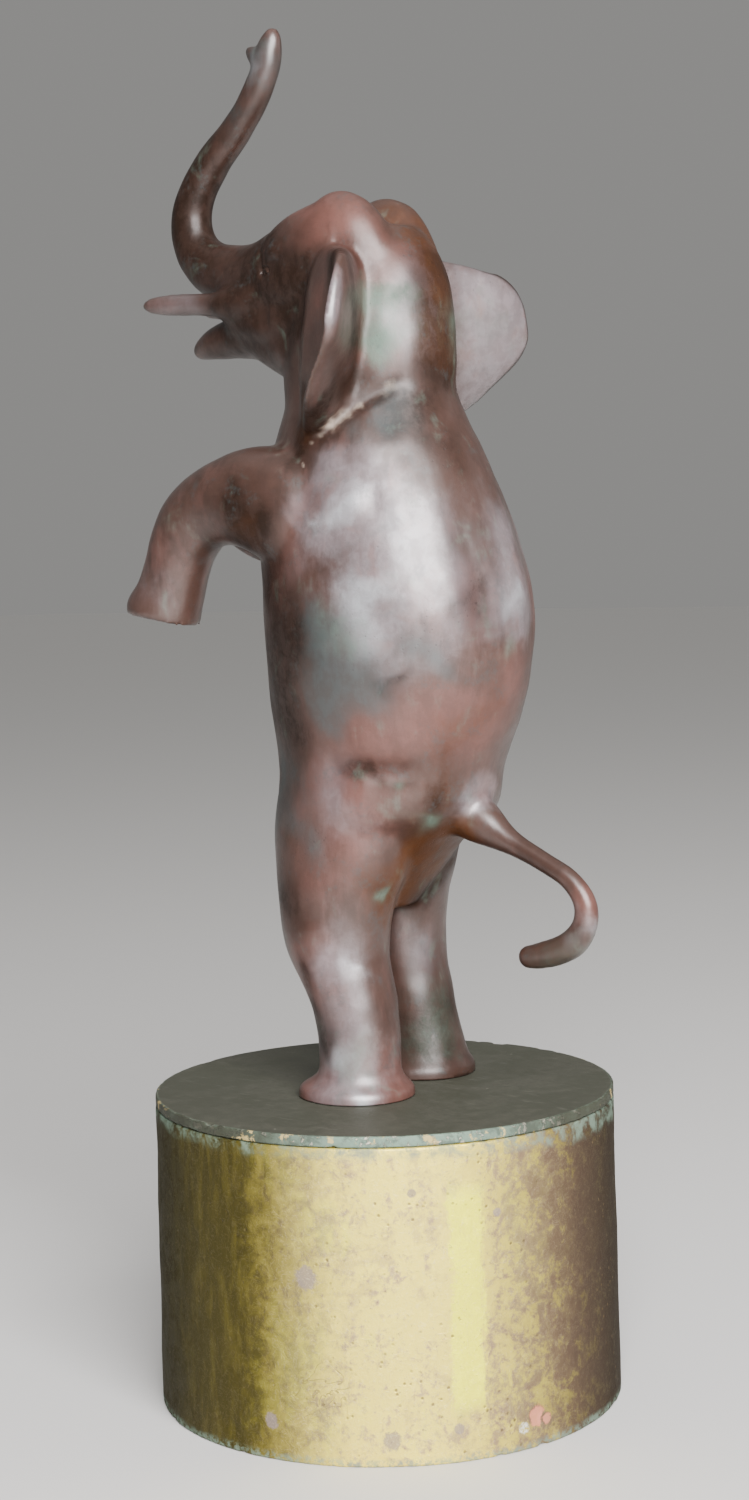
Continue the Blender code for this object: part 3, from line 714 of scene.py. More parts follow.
def ear_edge(side):
    """The outer edge of one ear as the smoothing leaves it."""
    rows = [row for row in EAR_ROWS if row[0] > EAR_REACH / 3]
    edge = [(out, high) for out, _low, high, _before, _behind in rows]
    edge += [(out, low) for out, low, _high, _before, _behind in reversed(rows)]
    middle_out, middle_up = EAR_REACH / 3, EAR_MIDDLE_UP
    places = []
    for out, up in edge:
        left_over = 1 - EAR_EDGE_DRAWN_IN / math.hypot(out - middle_out, up - middle_up)
        out = middle_out + (out - middle_out) * left_over
        up = middle_up + (up - middle_up) * left_over
        swept = ear_sweep(up)
        cup = EAR_CUP * math.sin(math.pi * min(out / EAR_REACH, 1))
        left = EAR_ROOT_LEFT + out * math.cos(swept) - cup * math.sin(swept)
        ahead = EAR_ROOT_AHEAD + EAR_LEAN * (EAR_MIDDLE_UP - up) - out * math.sin(swept)
        places.append((side * left, ahead - cup * math.cos(swept), up))
    return places


def mirrored(stations):
    return tuple((-left, *rest) for left, *rest in stations)


def casting_forms():
    """The closed forms whose union is the elephant."""
    upright = (TORSO, NECK, HEAD_DOME, mirrored(HEAD_DOME), NEAR_HIND_LEG, FAR_HIND_LEG)
    bent = (
        TEMPLE, mirrored(TEMPLE), CHEEK, mirrored(CHEEK), FACE, JAW, TRUNK, TRUNK_FINGER,
        TUSK, mirrored(TUSK), TUSK_SHEATH, mirrored(TUSK_SHEATH), NEAR_FORELEG, FAR_FORELEG, TAIL,
    )
    forms = [sweep(stations, level=True) for stations in upright]
    return forms + [sweep(stations) for stations in bent] + [ear(1), ear(-1)]


def added(name, data):
    """A new object in the scene, made of this mesh, light or camera."""
    obj = bpy.data.objects.new(name, data)
    bpy.context.scene.collection.objects.link(obj)
    return obj


def meshed(name, form):
    """A new object with the form as its mesh."""
    mesh = bpy.data.meshes.new(name)
    form.to_mesh(mesh)
    form.free()
    return added(name, mesh)


def joined(forms, name):
    """One object holding every form, still overlapping."""
    together = bmesh.new()
    for form in forms:
        piece = bpy.data.meshes.new("form")
        form.to_mesh(piece)
        together.from_mesh(piece)
        bpy.data.meshes.remove(piece)
    return meshed(name, together)


def settle(obj):
    """Makes the object's modifiers real."""
    graph = bpy.context.evaluated_depsgraph_get()
    mesh = bpy.data.meshes.new_from_object(obj.evaluated_get(graph))
    obj.modifiers.clear()
    old = obj.data
    obj.data = mesh
    bpy.data.meshes.remove(old)


def fillet_joints(obj, forms):
    """Smooths the skin a little all over, and much more where two forms meet."""
    trees = [BVHTree.FromBMesh(form) for form in forms]
    group = obj.vertex_groups.new(name="joints")
    for vertex in obj.data.vertices:
        found = [tree.find_nearest(vertex.co, 2 * JOINT_FILLET)[3] for tree in trees]
        near = sorted(distance for distance in found if distance is not None)
        nearness = 1 - near[1] / JOINT_FILLET if len(near) > 1 else 0
        group.add([vertex.index], max(nearness, EVEN_SMOOTHING), "REPLACE")
    smooth = obj.modifiers.new("fillets", "SMOOTH")
    smooth.vertex_group = group.name
    smooth.factor = FILLET_FACTOR
    smooth.iterations = FILLET_PASSES
    settle(obj)
    obj.vertex_groups.clear()


def cut_soles(obj):
    """Cuts the feet off flat at the level of the soles."""
    body = bmesh.new()
    body.from_mesh(obj.data)
    geometry = body.verts[:] + body.edges[:] + body.faces[:]
    sole = Vector((0, 0, SOLE_LEVEL))
    bmesh.ops.bisect_plane(body, geom=geometry, plane_co=sole, plane_no=UP, clear_inner=True)
    bmesh.ops.holes_fill(body, edges=[edge for edge in body.edges if edge.is_boundary])
    body.to_mesh(obj.data)
    body.free()


def refine(obj, centre, reach, cuts):
    """Divides the faces near a point, so that small forms can be worked there."""
    body = bmesh.new()
    body.from_mesh(obj.data)
    near = [edge for edge in body.edges if (edge.verts[0].co - centre).length < reach]
    bmesh.ops.subdivide_edges(body, edges=near, cuts=cuts, use_grid_fill=True)
    body.to_mesh(obj.data)
    body.free()


def points_of(obj):
    points = np.empty(len(obj.data.vertices) * 3)
    obj.data.vertices.foreach_get("co", points)
    return points.reshape(-1, 3)


def normals_of(obj):
    normals = np.empty(len(obj.data.vertices) * 3)
    obj.data.vertex_normals.foreach_get("vector", normals)
    return normals.reshape(-1, 3)


def move_to(obj, points):
    obj.data.vertices.foreach_set("co", points.astype(np.float32).ravel())
    obj.data.update()


def paint(obj, name, values):
    layer = obj.data.attributes.new(name, "FLOAT", "POINT")
    layer.data.foreach_set("value", values.astype(np.float32))


def from_path(points, path):
    """Each point's distance from a path, and how far along it, from 0 to 1, its nearest place is."""
    path = [np.array(placed(*place)) for place in path]
    lengths = [np.linalg.norm(end - start) for start, end in zip(path, path[1:])]
    whole = sum(lengths)
    least = np.full(len(points), np.inf)
    along = np.zeros(len(points))
    done = 0
    for start, end, length in zip(path, path[1:], lengths):
        step = (end - start) / length
        travelled = np.clip((points - start) @ step, 0, length)
        away = np.linalg.norm(points - start - travelled[:, None] * step, axis=1)
        nearer = away < least
        least[nearer] = away[nearer]
        along[nearer] = (done + travelled[nearer]) / whole
        done += length
    return least, along


def bell(distance, reach):
    return np.exp(-((distance / reach) ** 2))


def waver(points, wavelength, seed):
    """A smooth wandering value about 0, the same on each run."""
    draw = np.random.default_rng(seed)
    value = np.zeros(len(points))
    for _ in range(WAVES):
        direction = draw.normal(size=3)
        direction /= np.linalg.norm(direction)
        turn = 2 * math.pi / (wavelength * draw.uniform(0.7, 1.6))
        value += np.sin(points @ direction * turn + draw.uniform(0, 2 * math.pi))
    return value / math.sqrt(WAVES)


def wandered(points, distance, wavelength, seed):
    """The points each moved a little by a smooth wander, so that marks on them aren't round."""
    drift = np.stack([waver(points, wavelength, seed + axis) for axis in range(3)], axis=1)
    return points + distance * drift


def fold_dust(points):
    """Cream dirt along the folds where the neck meets the shoulders."""
    astray = wandered(points, 0.0006, 0.005, 91)
    unsteady = 1 + 0.10 * waver(points, 0.012, 92)
    dust = np.zeros(len(points))
    for path, wide, strength in DUSTY_FOLDS:
        away, along = from_path(astray, path)
        width = np.maximum(wide * (0.75 + 0.5 * along) * unsteady, DUST_LEAST_WIDTH) * MILLIMETRE
        dust = np.maximum(dust, strength * bell(away, width))
    return dust


def paint_marks(obj, points, drawn):
    """Paints every kind of mark, painted highlights and painted shade among them; the ear's edge lies on
    the figure as it was drawn, unfitted.
    """
    for number, (name, marks) in enumerate(MARKS.items()):
        astray = points
        for distance, wavelength, seed in MARK_WANDERS:
            astray = wandered(astray, distance, wavelength, seed + SEEDS_PER_MARK * number)
        bare = np.ones(len(points))
        for *place, reach, strength in marks:
            away = np.linalg.norm(astray - np.array(placed(*place)), axis=1)
            bare *= 1 - strength * bell(away, reach * MILLIMETRE * MARK_SPREAD)
        # The dark brown marks also carry painted shade along the far ear's rim and in the fold at the
        # waist.
        if name == "umber_and_painted_shade":
            away, _along = from_path(drawn, ear_edge(-1))
            bare *= 1 - np.clip(bell(away, FAR_EAR_RIM_SHADE_WIDTH * MILLIMETRE) * 2.9 - 1, 0, 1)
            away, along = from_path(wandered(points, 0.0009, 0.020, 93), FOLD_PAINTED_SHADE)
            tapered = FOLD_PAINTED_SHADE_STRENGTH * np.sqrt(np.sin(math.pi * along))
            bare *= 1 - bell(away, FOLD_PAINTED_SHADE_WIDTH * MILLIMETRE) * tapered
        paint(obj, name, 1 - bare)


def chase(obj, depth):
    """Works the creases and swellings into the casting."""
    for _name, path, half_width, height, both in CHASING:
        for side in (1, -1) if both else (1,):
            points = points_of(obj)
            away, along = from_path(points, [(side * left, *rest) for left, *rest in path])
            from_end = np.clip(np.minimum(along, 1 - along) / CHASING_FADE, 0, 1)
            fade = from_end ** 2 * (3 - 2 * from_end) if both else 1.0
            lift = height * MILLIMETRE * depth * bell(away, half_width * MILLIMETRE) * fade
            move_to(obj, points + normals_of(obj) * lift[:, None])


def work_eye(obj, side):
    """An eyeball in its socket between two lids."""
    left, ahead, up = EYE
    centre = np.array(placed(side * left, ahead, up))
    points = points_of(obj)
    normals = normals_of(obj)
    nearest = np.argmin(np.linalg.norm(points - centre, axis=1))
    out = normals[nearest]
    centre = points[nearest]
    over = np.array(UP) - out * out[2]
    over /= np.linalg.norm(over)
    across = np.cross(out, over)
    level = (points - centre) @ across / MILLIMETRE
    height = (points - centre) @ over / MILLIMETRE
    deep = (points - centre) @ out / MILLIMETRE
    radius = np.hypot(level, height * EYE_NARROWING)
    socket = -SOCKET_DEPTH * bell(radius, SOCKET_RADIUS)
    ball = EYEBALL_HEIGHT * np.sqrt(np.clip(1 - (radius / EYEBALL_RADIUS) ** 2, 0, 1))
    lid = LID_HEIGHT * np.where(height > 0, 1, LOWER_LID_SHARE)
    lids = lid * bell(radius - LID_RADIUS, LID_WIDTH)
    crease = -CREASE_DEPTH * bell(radius - CREASE_RADIUS, CREASE_WIDTH) * (height > 0)
    close = (np.abs(deep) < EYE_THICKNESS) * (radius < EYE_REACH)
    lift = (socket + ball + lids + crease) * close * MILLIMETRE
    move_to(obj, points + normals * lift[:, None])


def hollows_of(obj):
    """How hollow the surface is at each point, evened a little: over 0 in creases."""
    points = points_of(obj)
    normals = normals_of(obj)
    ends = np.empty(len(obj.data.edges) * 2, dtype=np.int64)
    obj.data.edges.foreach_get("vertices", ends)
    a, b = ends.reshape(-1, 2).T
    count = np.bincount(a, minlength=len(points)) + np.bincount(b, minlength=len(points))
    count = np.maximum(count, 1)

    def evened(values):
        total = np.bincount(a, values[b], len(points)) + np.bincount(b, values[a], len(points))
        return total / count

    around = np.stack([evened(points[:, axis]) for axis in range(3)], axis=1)
    hollow = ((around - points) * normals).sum(axis=1) / MILLIMETRE
    for _ in range(6):
        hollow = (hollow + evened(hollow)) / 2
    return hollow


def fitted_to(points, box):
    """The points moved to fill a box exactly."""
    low, high = (np.array(corner) for corner in box)
    least, most = points.min(axis=0), points.max(axis=0)
    return low + (points - least) / (most - least) * (high - low)


def thin_out(obj, most):
    """Thins a mesh to the most triangles that it may have."""
    triangles = sum(len(face.vertices) - 2 for face in obj.data.polygons)
    if triangles > most:
        thinner = obj.modifiers.new("thin out", "DECIMATE")
        thinner.ratio = most / triangles
        settle(obj)


def dress(obj, finish, node, sharp=None):
    """Finishes a piece, and puts it on the frame in place of its node."""
    obj.data.materials.clear()
    obj.data.materials.append(finish)
    obj.data.shade_smooth()
    if sharp:
        obj.data.set_sharp_from_angle(angle=math.radians(sharp))
    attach(obj, "root")
    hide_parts(node)


def bronze_patina(colours):
    """Brown bronze with its stains, corrosion and dust, and the painted highlights and painted shade that
    its marks place.
    """
    bench = Bench("patinated bronze")
    broad = bench.cloud(34, 5, 0.55, 0.4)
    medium = bench.cloud(120, 6, 0.62, 0.3)
    fine = bench.cloud(620, 5, 0.6)
    speckle = bench.cloud(1500, 3, 0.7)
    runs = bench.cloud(1.0, 6, 0.6, 0.2, bench.stretched(210, 210, 52))
    hollow = bench.painted("hollow")
    uneven = bench.cloud(300, 5, 0.65, 0.2) * 0.45 + runs * 0.30 + medium * 0.25
    flecked = (bench.cloud(190, 7, 0.66, 0.5) * 0.6 + runs * 0.4).step(0.42, 0.58)

    def laid(name, low=0.02, high=0.95, worn=0.70):
        """A mark broken up by the mottling of the metal."""
        mark = (bench.painted(name) - (0.5 - uneven) * worn).step(low, high)
        return mark * (flecked * 0.26 + 0.74)

    marks = {name: laid(name) for name in MARKS}
    dusty = laid("dust", 0.22, 0.80, 0.8)
    pale_painted_highlight_mask = marks["pale_painted_highlight"]
    rosy_in_painted_highlight = (bench.cloud(52, 5, 0.6, 0.9) * 0.6 + runs * 0.4).step(0.50, 0.60)
    bluish_in_painted_highlight = (bench.cloud(44, 5, 0.6, 1.1) * 0.65 + runs * 0.35).step(0.53, 0.62)
    stains = (bench.cloud(75, 5, 0.6, 0.6) * 0.6 + fine * 0.4).step(0.545, 0.64)
    greening = (bench.cloud(58, 6, 0.62, 0.8) * 0.65 + runs * 0.35).step(0.56, 0.68)
    dark_hollow = hollow.step(0.03, 0.16)
    rubbed = (hollow * -1).step(0.03, 0.20)
    pits = 1 - bench.cells(420).step(0.05, 0.22)
    scars = pits * bench.cloud(26, 2).step(0.52, 0.62)
    dull = (
        marks["blush"] * 0.18 + marks["umber_and_painted_shade"] * 0.54 + marks["rust"] * 0.62
        + marks["verdigris"] * 0.45
    )
    glossy = 0.62 + pale_painted_highlight_mask * 0.38 + marks["painted_sky_reflection"] * 0.20 + marks["slate"] * 0.02
    bench.feed(
        Base_Color=bench.layers(
            colours.chestnut,
            (colours.umber_and_painted_shade, (broad * 0.7 + medium * 0.3).step(0.44, 0.68) * 0.55),
            (colours.blush, (runs * 0.6 + broad * 0.4).step(0.50, 0.66) * 0.30),
            (colours.blush, marks["blush"] * 0.90),
            # Painted highlights: pale grey with rosy and bluish tints, and then the palest bluish white.
            (colours.pale_painted_highlight, pale_painted_highlight_mask * 0.62),
            (colours.blush, rosy_in_painted_highlight * pale_painted_highlight_mask * 0.48),
            (colours.slate, bluish_in_painted_highlight * pale_painted_highlight_mask * 0.30),
            (colours.painted_sky_reflection, marks["painted_sky_reflection"] * 0.70),
            # Dark brown patina, and painted shade under the rump, on the shaded sides of the legs, in the
            # waist fold and along the far ear's rim.
            (colours.umber_and_painted_shade, marks["umber_and_painted_shade"] * 0.92),
            (colours.rust, marks["rust"] * 0.85),
            (colours.slate, marks["slate"] * 0.80),
            (colours.verdigris, marks["verdigris"] * 0.90),
            (colours.slate, stains * 0.30),
            (colours.verdigris, greening * 0.28),
            (colours.umber_and_painted_shade, dark_hollow * 0.65),
            (colours.dust, dusty * 0.80),
            (colours.umber_and_painted_shade, speckle.step(0.60, 0.74) * 0.22),
            (colours.umber_and_painted_shade, scars * 0.35),
        ),
        Metallic=(0.15 - dusty * 0.15).most(0.0),
        Roughness=(
            0.44 + (medium - 0.5) * 0.18 + (fine - 0.5) * 0.10 + dusty * 0.35
            + marks["verdigris"] * 0.14 + marks["umber_and_painted_shade"] * 0.04 - rubbed * 0.06
        ),
        Coat_Weight=(
            (glossy - dull) * (1 - dark_hollow * 0.7) * (1 - dusty) * (flecked * 0.16 + 0.86)
        ).most(0.04),
        Coat_Roughness=0.35,
        Coat_IOR=1.85,
        Specular_IOR_Level=0.15,
        Normal=bench.relief(
            fine * 0.5 + medium * 0.8 + speckle * 0.12 - scars * 0.5 + dusty * fine * 1.5, 0.00022
        ),
    )
    return bench.finish


def plinth_places(bench):
    """Where a point is on the plinth: x, y and z, and how far round it, rightwards from the
    camera's side, in millimetres."""
    x, y, z = (
        bench.node("ShaderNodeSeparateXYZ", None, {0: bench.place}, index) for index in range(3)
    )
    rightward = x * PHOTO_RIGHT.x + y * PHOTO_RIGHT.y
    toward = x * PHOTO_TOWARD.x + y * PHOTO_TOWARD.y
    around = rightward.sum("ARCTAN2", rightward, toward) * (PLINTH_RADIUS / MILLIMETRE)
    return x, y, z, around


def brass_face(colours):
    """Aged brass: mottled tarnish, dark specks, a cleaner strip and small stains; olive tarnish and
    painted shade darken it round to the left, and brown tarnish and painted shade round to the right.
    """
    bench = Bench("aged brass")
    _x, _y, z, around = plinth_places(bench)
    up = z / MILLIMETRE
    broad = bench.cloud(24, 4, 0.6, 0.5)
    mottled = bench.cloud(150, 8, 0.68, 0.4)
    crumbs = bench.cloud(520, 6, 0.7, 0.2)
    grain = bench.cloud(1600, 4, 0.7)
    drips = bench.cloud(1.0, 7, 0.62, 0.1, bench.stretched(170, 170, 38))
    wander = (bench.cloud(90, 5, 0.6) - 0.5) * 9

    # How far round to the left and the right the face is darkened: olive and brown tarnish with painted
    # shade, and only painted shade at the far sides.
    rightness = around.step(8, 95)
    left_olive_and_shade = (around * -1 + wander * 1.2 + (mottled - 0.5) * 30).step(12, 59)
    far_left_painted_shade = (around * -1).step(58, 112)
    far_right_painted_shade = around.step(62, 116)
    right_edge = around + wander * 1.5 + (mottled - 0.5) * 24 + (broad - 0.5) * 18
    right_tarnish_and_shade = right_edge.step(7, 90)
    left_ramp_khaki_band = (left_olive_and_shade * (1 - left_olive_and_shade) * 3.2).least(1.0)

    # The mottling.
    tarnished = mottled * 0.45 + crumbs * 0.25 + broad * 0.2 + drips * 0.10
    tarnish = (tarnished + rightness * 0.10 - 0.02).step(0.475, 0.565)
    patchy = (bench.cloud(42, 6, 0.62, 0.9) * 0.55 + mottled * 0.25 + crumbs * 0.20).step(0.50, 0.59)
    clean = (broad * 0.6 + drips * 0.4).step(0.50, 0.62)
    brown = (crumbs * 0.5 + mottled * 0.5 + rightness * 0.14).step(0.58, 0.68)
    specks = (1 - bench.cells(330).step(0.10, 0.26)) * bench.cloud(60, 3).step(0.50, 0.60)
    flecks = crumbs.step(0.62, 0.70) * (1 - left_olive_and_shade * 0.9) * (1 - right_tarnish_and_shade * 0.9)
    hairs = 1 - abs(bench.cloud(260, 2, 0.5, 2.0) - 0.5).step(0.006, 0.020)
    bright_hairs = hairs * (0.35 + mottled * 0.4) * (1 - left_olive_and_shade * 0.85) * (1 - right_tarnish_and_shade * 0.9)

    # The clean strip, and what lies at one place.
    strip_middle = abs(around - 28.5 + wander * 0.6 + (drips - 0.5) * 9 + (crumbs - 0.5) * 7)
    strip_ends = (up + wander).step(14, 24) * (1 - (up + wander).step(93, 103))
    strip = (1 - strip_middle.step(4.6, 7.9)) * strip_ends * (crumbs * 0.4 + 0.75)

    def spot(at, height, size):
        away = ((around - at) ** 2 + (up - height) ** 2) ** 0.5
        ragged = ((crumbs - 0.5) * 1.5 + (mottled - 0.5) * 1.5) * size
        return 1 - (away + ragged + wander * 0.22).step(size * 0.80, size * 1.15)

    stains = spot(*DRUM_STAINS[0])
    for place in DRUM_STAINS[1:]:
        stains = stains.most(spot(*place))
    wisps = 1 - abs(bench.cloud(75, 2, 0.5, 1.6) - 0.5).step(0.004, 0.012)
    cracks = wisps * spot(*DRUM_CRACKS)
    chip = spot(*DRUM_CHIP).most(spot(*DRUM_CHIP_TAIL) * 0.8)
    # A painted glint: near-white on a small chip.
    chip_glint = spot(*DRUM_CHIP_GLINT) * crumbs.step(0.42, 0.55)

    # The green rims.
    foot = 1 - (up + wander * 0.35).step(1.2, 4.0)
    top = (up + wander * 0.6 + rightness * 3.5).step(108.5, 113.0)
    greened = (foot * crumbs.step(0.42, 0.56)).most(top * mottled.step(0.40, 0.60))
    bench.feed(
        Base_Color=bench.layers(
            colours.brass,
            (colours.tarnish, tarnish * 0.85),
            (TAN, patchy * 0.42 * (1 - left_olive_and_shade)),
            (colours.bright_brass, clean * 0.38 * (1 - rightness)),
            # A khaki band, then olive tarnish with painted shade round to the left, brown tarnish with
            # painted shade round to the right, and near black painted shade at the far sides.
            (KHAKI, left_ramp_khaki_band * 0.48),
            (colours.olive, left_olive_and_shade * (0.84 + drips * 0.3).least(1.0)),
            (FAR_LEFT_PAINTED_SHADE, far_left_painted_shade * 0.9),
            (COPPER_BROWN, brown * rightness * 0.45),
            (DARK_TARNISH_AND_SHADE, right_tarnish_and_shade * 0.92),
            (SHADE_BROWN, far_right_painted_shade * 0.85),
            (colours.bright_brass, strip.least(1.0) * 0.98),
            (STAIN_GREY, stains * 0.80),
            (SPECK_BROWN, specks * 0.75 * (1 - left_olive_and_shade * 0.8)),
            (FLECK_BROWN, flecks * 0.65),
            (CRACK_OCHRE, cracks * 0.6),
            (HAIR_GOLD, bright_hairs * 0.5),
            (colours.band, greened * 0.70),
            (BARE_COPPER, chip * 0.9),
            (GLINT_CREAM, chip_glint),
        ),
        # The far sides also lose their metal and gloss, deepening the painted shade.
        Metallic=(
            (0.55 - tarnish * 0.20 - stains * 0.4 - greened * 0.5 - chip * 0.3)
            * (1 - far_left_painted_shade * 0.85) * (1 - far_right_painted_shade * 0.85)
        ).most(0.0),
        Roughness=(
            0.46 + (mottled - 0.5) * 0.25 + (crumbs - 0.5) * 0.15 + tarnish * 0.10 - strip * 0.03
            + (far_left_painted_shade + far_right_painted_shade) * 0.25
        ),
        Coat_Weight=0.0,
        Specular_IOR_Level=0.12,
        Normal=bench.relief(
            crumbs * 0.55 + mottled * 0.55 + grain * 0.18 + hairs * 0.12
            - specks * 0.55 - cracks * 0.6 - chip * 0.8, 0.00028
        ),
    )
    return bench.finish


def dark_plate(colours):
    """A matt dark plate, green and chipped along its edge, with painted shade on the edge where it turns
    away from the camera.
    """
    bench = Bench("dark plate")
    x, y, _z, around = plinth_places(bench)
    broad = bench.cloud(30, 5, 0.6, 0.5)
    mottled = bench.cloud(170, 7, 0.65, 0.3)
    crumbs = bench.cloud(600, 5, 0.7)
    rubs = bench.cloud(1.0, 5, 0.6, 0.1, bench.stretched(700, 90, 90))
    radius = (x ** 2 + y ** 2) ** 0.5 / MILLIMETRE
    edge = (radius + (mottled - 0.5) * 2.4).step(88.6, 89.6)
    lint = (1 - bench.cells(120).step(0.035, 0.06)) * bench.cloud(40, 2).step(0.55, 0.60)
    green = bench.layers(colours.band, (DEEP_GREEN, mottled.step(0.48, 0.62) * 0.8))
    crust = (bench.cloud(210, 6, 0.7, 0.8) * 0.7 + crumbs * 0.3).step(0.530, 0.575) * edge
    # Painted shade on the edge band, away from the camera's side.
    edge_turned_away = abs(around - 8 + (broad - 0.5) * 60).step(18, 72)
    bare = (bench.cloud(95, 5, 0.65, 0.5) * 0.7 + crumbs * 0.3).step(0.565, 0.600) * edge
    bench.feed(
        Base_Color=bench.layers(
            colours.plate,
            (WORN_OLIVE, (broad * 0.6 + mottled * 0.4).step(0.42, 0.62) * 0.6),
            (SOOT, (crumbs * 0.5 + broad * 0.5).step(0.52, 0.64) * 0.5),
            (RUBBED_GREY, rubs.step(0.60, 0.72) * 0.35),
            (LINT_GREY, lint * 0.5),
            (green, edge),
            (CRUST_CREAM, crust * 0.75),
            (EDGE_SHADE, edge_turned_away * edge * 0.93),
            (BARE_BRASS, bare * 0.8),
        ),
        Metallic=0.30 - edge * 0.20,
        Roughness=0.60 + (mottled - 0.5) * 0.2 + edge * 0.12,
        Specular_IOR_Level=0.35,
        Normal=bench.relief(crumbs * 0.5 + mottled * 0.5 + rubs * 0.2 + crust * 1.2, 0.00022),
    )
    return bench.finish


def disc_profile(radius, low, high, easing, rows, rings):
    """The (radius, height) rows of a disc with rounded rims."""
    quarter = [math.pi / 2 * step / EASING_STEPS for step in range(EASING_STEPS + 1)]
    shares = [ring / rings for ring in range(1, rings)]
    inner = [
        radius * (DISC_MIDDLE + (1 - DISC_MIDDLE) * share) - easing * share for share in shares
    ]
    profile = [(reach, low) for reach in inner]
    for turn in quarter:
        rim = easing * math.sin(turn), easing * math.cos(turn)
        profile.append((radius - easing + rim[0], low + easing - rim[1]))
    for row in range(1, rows):
        profile.append((radius, low + easing + (high - low - 2 * easing) * row / rows))
    for turn in quarter:
        rim = easing * math.cos(turn), easing * math.sin(turn)
        profile.append((radius - easing + rim[0], high - easing + rim[1]))
    return profile + [(reach, high) for reach in reversed(inner)]


def turned(name, profile):
    """A closed round piece through the profile, its ends filled with faces to their middle."""
    angles = [2 * math.pi * side / PLINTH_SIDES for side in range(PLINTH_SIDES)]
    form = bmesh.new()
    loops = walls(form, [
        [(radius * math.cos(angle), radius * math.sin(angle), height) for angle in angles]
        for radius, height in profile
    ])
    for loop, height in ((loops[0], profile[0][1]), (loops[-1], profile[-1][1])):
        middle = form.verts.new((0, 0, height))
        for side in range(PLINTH_SIDES):
            form.faces.new((loop[side], loop[(side + 1) % PLINTH_SIDES], middle))
    bmesh.ops.recalc_face_normals(form, faces=form.faces)
    return meshed(name, form)


def eat_rims(points, radius, low, high, reach, depth, seed):
    """Worn rims: the surface near the two rims is drawn in by ragged amounts."""
    away = np.hypot(points[:, 0], points[:, 1])
    from_rim = np.minimum(np.abs(points[:, 2] - low), np.abs(points[:, 2] - high))
    near = bell(from_rim, reach) * bell(radius - away, reach * 1.5)
    ragged = waver(points, 0.011, seed) * 0.6 + waver(points, 0.004, seed + 1) * 0.5
    bite = np.clip(ragged - 0.55, 0, None) * near * depth
    inward = np.array((0, 0, (low + high) / 2)) - points
    inward /= np.linalg.norm(inward, axis=1)[:, None]
    inward[:, 2] = np.sign(inward[:, 2]) * 0.6
    return points + inward * bite[:, None]


def turn_piece(name, box, easing, rows, rings, rim, depth, seed, side_from, swells, dents=()):
    """A turned piece of the plinth: its rims are eaten, and its side strays and is dented inward.

    A swell is a wavelength and a depth, and the side is what lies beyond this share of the radius.
    """
    low, high = box[0].z, box[1].z
    obj = turned(name, disc_profile(PLINTH_RADIUS, low, high, easing, rows, rings))
    points = eat_rims(points_of(obj), PLINTH_RADIUS, low, high, rim, depth, seed)
    outward = points * (1, 1, 0)
    outward /= np.maximum(np.linalg.norm(outward, axis=1), 1e-6)[:, None]
    side = np.hypot(points[:, 0], points[:, 1]) > PLINTH_RADIUS * side_from
    drift = np.zeros(len(points))
    for number, (wavelength, swell) in enumerate(swells, seed + 2):
        drift += np.abs(waver(points, wavelength, number)) * swell
    for at, height, reach, dent in dents:
        turn = at * MILLIMETRE / PLINTH_RADIUS
        place = PLINTH_RADIUS * (PHOTO_TOWARD * math.cos(turn) + PHOTO_RIGHT * math.sin(turn))
        away = np.linalg.norm(points - np.array((place.x, place.y, height * MILLIMETRE)), axis=1)
        drift += dent * MILLIMETRE * bell(away, reach * MILLIMETRE)
    move_to(obj, points - outward * (drift * side)[:, None])
    return obj


class CastElephant(bpy.types.Operator):
    """Casts the elephant, chases its folds and eyes, and lays on its patina with painted highlights and
    painted shade
    """

    bl_idname = "bronze_elephant.cast"
    bl_label = "Cast the Elephant"

    def execute(self, context):
        sizes = context.scene.casting_sizes
        forms = casting_forms()
        obj = joined(forms, "bronze_elephant")
        remesh = obj.modifiers.new("one skin", "REMESH")
        remesh.mode = "VOXEL"
        remesh.voxel_size = sizes.grain
        settle(obj)
        fillet_joints(obj, forms)
        for form in forms:
            form.free()
        left, ahead, up = EYE
        for reach in (EYE_REFINED, EYE_REFINED * 0.75):
            for side in (1, -1):
                refine(obj, placed(side * left, ahead, up), reach * MILLIMETRE, 1)
        chase(obj, sizes.chasing_depth)
        for side in (1, -1):
            work_eye(obj, side)
        points = points_of(obj)
        stray = waver(points, 0.030, 11) * 0.7 + waver(points, 0.012, 12) * 0.3
        move_to(obj, points + normals_of(obj) * (stray * sizes.waver)[:, None])
        cut_soles(obj)
        drawn = points_of(obj)
        points = fitted_to(drawn, ELEPHANT_BOX)
        move_to(obj, points)
        paint_marks(obj, points, drawn)
        paint(obj, "dust", fold_dust(points))
        paint(obj, "hollow", hollows_of(obj))
        thin_out(obj, CASTING_TRIANGLES)
        move_to(obj, fitted_to(points_of(obj), ELEPHANT_BOX))
        dress(obj, bronze_patina(context.scene.bronze_finish), "elephant")
        return {"FINISHED"}


class TurnDrum(bpy.types.Operator):
    """Turns the plinth's drum, wears its rims and dents it, and gives it its aged brass, darkened toward
    its sides with painted shade
    """

    bl_idname = "bronze_elephant.turn_drum"
    bl_label = "Turn the Drum"

    def execute(self, context):
        finish = context.scene.plinth_finish
        obj = turn_piece(
            "brass_drum", DRUM_BOX, easing=0.0009, rows=96, rings=6, rim=0.0022,
            depth=finish.rim_wear, seed=31, side_from=0.9,
            swells=((0.050, 0.00018), (0.016, 0.00007)), dents=DRUM_DENTS,
        )
        dress(obj, brass_face(finish), "plinth_drum", 50)
        return {"FINISHED"}


